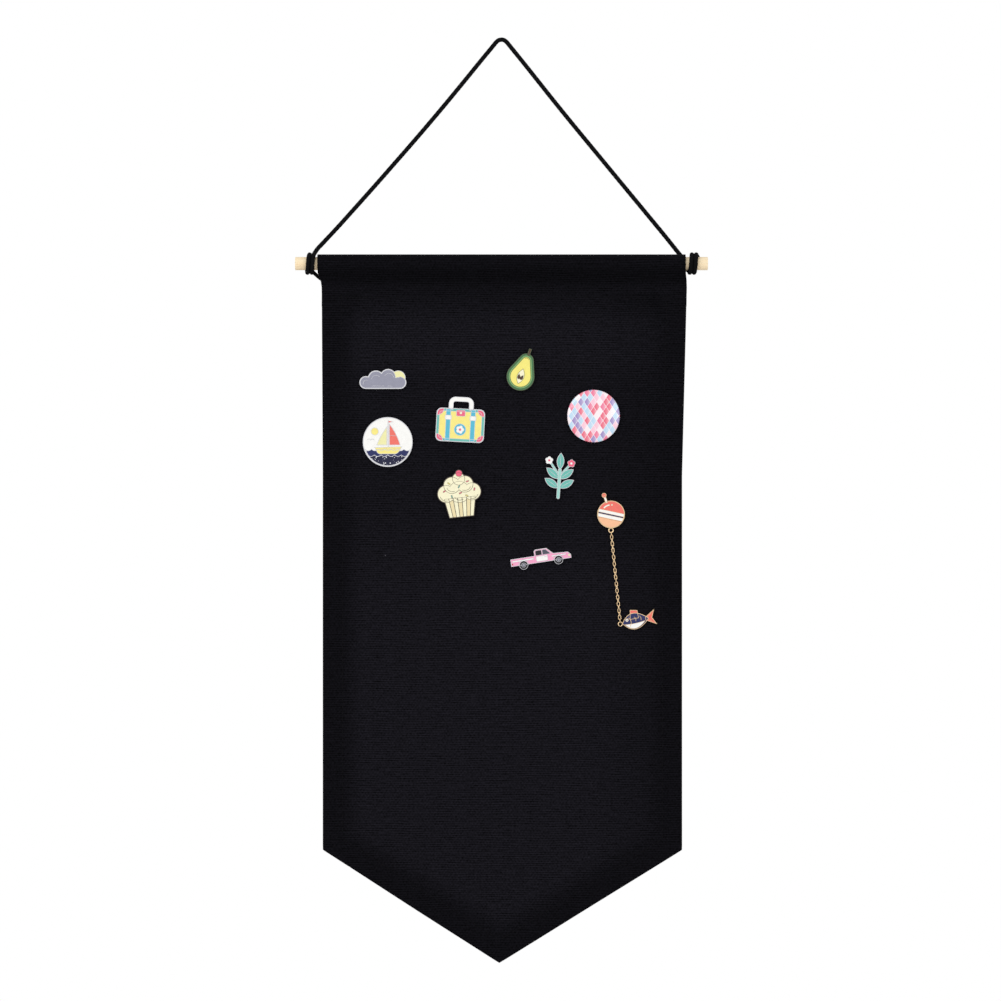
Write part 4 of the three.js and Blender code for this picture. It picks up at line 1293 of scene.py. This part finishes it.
def make_sprig_pin():
    badge = Badge(SILVER)
    flowers = [(-5.6, 7.4, WHITE, PINK), (5.4, 6.6, PINK, WHITE)]
    for x, z, _, _ in flowers:
        badge.limb(line_outline([(0, 0), (x, z)], 1.2), PALE_TEAL, 0, 0.2)
    leaf = lens((0, 0), (3.8, 4.3), (0, 8.6), (-3.8, 4.3))
    rib = [(0, 1.72), (0, 7.224)]
    leaves = [(-6, -58), (-6, 58), (-1.5, -52), (-1.5, 52), (3, 0)]
    for level, (z, lean) in enumerate(leaves, 1):
        badge.limb(turned(leaf, -lean, 0, z), TEAL, level, 0.3)
        badge.line(turned(rib, -lean, 0, z), 0.24, level + 1)
    stem = [*arc(0, -10.5, 0.85, 180, 360, 8), (0.85, 3.6), (-0.85, 3.6)]
    badge.limb(stem, PALE_TEAL, 6, 0.2)
    for x, z, petals, heart in flowers:
        badge.limb(blossom(x, z, 1.05, 0.94, 0.3, 90), petals, 7, 0.2)
        badge.dot(x, z, 0.6, heart, 8, 0.1)
    badge.pinned("sprig")


def make_truck_pin():
    badge = Badge(SILVER)
    sill = -2.5
    body = [(-15, sill), (15, sill), (15, -0.6), (13.6, 0.8), (6.4, 1.2), (3.4, 4.2), (-2.2, 4.2),
            (-3, 3.4), (-3, 1.2), (-15, 1.2)]
    side_window = [(-2.4, 1.1), (0.9, 1.1), (0.9, 3.7), (-1.9, 3.7), (-2.4, 3.2)]
    quarter_window = [(1.1, 1.1), (5.4, 1.1), (2.9, 3.7), (1.1, 3.7)]
    door = rounded(-2.3, -1.9, 3.5, 0.8, 0.5)
    handle = [(1.9, 0.1), (2.9, 0.1)]
    bed_stripe = rounded(-14.2, -0.5, -3.4, 0.3, 0.3)
    bonnet_stripe = rounded(5.4, -0.5, 12.6, 0.1, 0.25)
    tail_lamp = rounded(-14.65, -1.9, -13.75, -0.8, 0.25)
    badge.plate(body, ROSE, 0.28)
    badge.field(side_window, BLACK, 1, 0.16)
    badge.field(quarter_window, DARK_GREY, 1, 0.16)
    badge.field(door, WHITE, 1, 0.18)
    badge.line(handle, 0.22)
    badge.field(bed_stripe, WHITE, 1, 0.16)
    badge.field(bonnet_stripe, WHITE, 1, 0.14)
    badge.field(tail_lamp, RED, 1, 0.14)
    badge.dot(14.05, -1.0, 0.6, PALE_YELLOW, 1)
    for wheel in ((-8.8, sill), (8.6, sill)):
        badge.line(arc(*wheel, 2.6, 8, 172, 16), 0.24, 1)
        badge.limb(ring(*wheel, 2.2, 36), BLACK, 2, 0.2)
        badge.dot(*wheel, 1.15, DARK_GREY, 3, 0.16)
        badge.dot(*wheel, 0.5, GREY, 4, 0.1)
    badge.pinned("truck")


def make_float_pin():
    badge = Badge(GILT)
    stem = turned([(0, 6), (0, 10)], 20)
    badge.limb(line_outline(stem, 1.2), WHITE, 0, 0.22)
    badge.limb(ring(*stem[1], 1.2, 24), CORAL, 1, 0.24)
    badge.plate(ring(0, 0, 6.8, 72), CORAL, 0.36)
    band_lean = -12
    bands = [(6.42, -6.4, -2.5, PEACH, 0.16), (6.48, -2.4, 1.6, WHITE, 0.2), (6.5, -0.75, 0.15, NAVY, 0.14)]
    for level, (radius, bottom, top, fill, line) in enumerate(bands, 1):
        badge.field(turned(disc_band(radius, bottom, top), band_lean), fill, level, line)
    for start, end, steps in ((98, 140, 10), (80, 89, 4)):
        gleam = arc(0, 0, 4.7, start, end, steps)
        badge.field(line_outline(gleam, 0.8), WHITE, 2, 0.12)
    badge.eye(0, (joint_place["chain_swing"] - joint_place["float_spin"]).z, EYE_OUTER)
    badge.pinned("float")


for make_pin in (make_cloud_pin, make_boat_pin, make_suitcase_pin, make_cupcake_pin, make_pear_pin,
                 make_harlequin_pin, make_sprig_pin, make_truck_pin, make_float_pin):
    make_pin()


# Clutches

def make_clutch(name):
    """A butterfly clutch: a dished base with a rolled rim, a sprung dome and two wings to pinch."""
    bm = bmesh.new()
    base = [(CLUTCH_BORE, 0), (5.1, 0), (5.45, 0.12), (5.6, 0.42), (5.5, 0.75), (5.15, 0.9), (4.6, 0.72),
            (3.9, 1.0), (3.5, 1.8)]
    dome = [(3.5, 1.0), (3.3, 0.55), (2.4, 0.15), (1.75, 0), (1.2, 0.05), (CLUTCH_BORE, 0.2)]
    profile = [(radius, CLUTCH_SEAT + y) for radius, y in base]
    profile += [(radius, CLUTCH_TOP - y) for radius, y in dome]
    spun(bm, [*profile, profile[0]], steps=40)
    for side in (-1, 1):
        middle = Matrix.Translation((side * WING_REACH, CLUTCH_TOP - WING_DROP, 0))
        made = bmesh.ops.create_cube(bm, size=1, matrix=middle @ Matrix.Diagonal((*WING_SIZE, 1)))["verts"]
        edges = list({edge for vert in made for edge in vert.link_edges})
        bmesh.ops.bevel(bm, geom=edges, offset=WING_BEVEL, segments=3, profile=0.5, affect="EDGES",
                        material=-1)
    node = f"{name}_clutch"
    place = leant(joint_place[f"{name}_spin"], BADGE_LEAN[name])
    finish_piece(bm, f"{name}_butterfly", node, [BRASS], [node], place=place)


for badge_name in BADGE_LEAN:
    make_clutch(badge_name)


# Chain and charm

def link_centre(number):
    low, high = node_box(f"chain_link_{number:02d}")
    return (low + high) / 2


chain_run = link_centre(LINK_COUNT) - link_centre(1)
chain_lean = -math.degrees(math.atan2(chain_run.x, -chain_run.z))


def make_link(number):
    """One oval link of round wire, edge on and face on by turns, and none quite square to the next."""
    bm = bmesh.new()
    bend = (LINK_WIDTH - LINK_WIRE) / 2
    straight = (LINK_LENGTH - LINK_WIDTH) / 2
    section = bmesh.ops.create_circle(bm, segments=10, radius=LINK_WIRE / 2,
                                      matrix=Matrix.Translation((bend, 0, -straight)))["verts"]
    loop = list({edge for vert in section for edge in vert.link_edges})
    for side in (1, -1):
        verts, edges = extruded(bm, loop)
        bmesh.ops.translate(bm, vec=(0, 0, 2 * straight * side), verts=verts)
        made = bmesh.ops.spin(bm, geom=verts + edges, cent=(0, 0, straight * side), axis=(0, 1, 0),
                              angle=-math.pi, steps=10)["geom_last"]
        loop = [item for item in made if isinstance(item, bmesh.types.BMEdge)]
    bmesh.ops.remove_doubles(bm, verts=bm.verts, dist=1e-3)
    turn = 90 * (number % 2)
    if 1 < number < LINK_COUNT:
        turn += LINK_TWIST * math.sin(2.3 * number)
    place = leant(link_centre(number), chain_lean) @ Matrix.Rotation(math.radians(turn), 4, "Z")
    body = "chain_lower" if number >= FIRST_LOWER_LINK else "chain_upper"
    node = f"chain_link_{number:02d}"
    finish_piece(bm, f"gilt_link_{number:02d}", body, [GILT], [node], place=place, sharp=60)


def make_fish_charm():
    charm = Badge(GILT, CHARM_FRONT, CHARM_BACK)
    tail = [(12.6, -0.8), (17.8, -3.8), (16.0, 0), (17.8, 3.8), (12.6, 0.8)]
    fin = [(5.0, 1.0), (9.6, 1.0), (9.6, 5.0), (6.0, 5.9)]
    for outline in (tail, fin):
        charm.limb(outline, CORAL, 0, 0.28)
    for side in (1, -1):
        charm.line([(13.6, 0.5 * side), (16.2, 2.1 * side)], 0.18, 1)
    body = lens((0.9, 0), (6.3, -8.2), (14.5, 0), (6.3, 8.2), 18)
    charm.limb(body, NAVY, 1, 0.3)
    belly = bow((2.0, -0.7), (6.3, -6.6), (12.6, -0.7), 14) + bow((12.6, -0.7), (7.0, -1.5), (2.0, -0.7), 8)
    charm.field(belly, WHITE, 2, 0.16)
    gill = arc(2.4, 0, 3.0, -46, 46, 10)
    charm.line(gill, 0.3, 3)
    fish_eye = (3.6, 1.2)
    charm.dot(*fish_eye, 0.8, WHITE, 3)
    charm.dot(*fish_eye, 0.32, BLACK, 4, 0.06)
    for scale_x in (6.5, 9.1):
        charm.line(arc(scale_x, 0.75, 1.5, -35, 55, 8), 0.26, 3)
    charm.eye(0, 0, CHARM_EYE_OUTER)
    hang = link_centre(LINK_COUNT) + chain_run.normalized() * LINK_TO_EYE
    place = leant((hang.x, 0, hang.z), CHARM_LEAN)
    finish_piece(charm.bm, "fish_pendant", "charm", charm.materials, ["fish_charm"], place=place)


for link_number in range(1, LINK_COUNT + 1):
    make_link(link_number)
make_fish_charm()
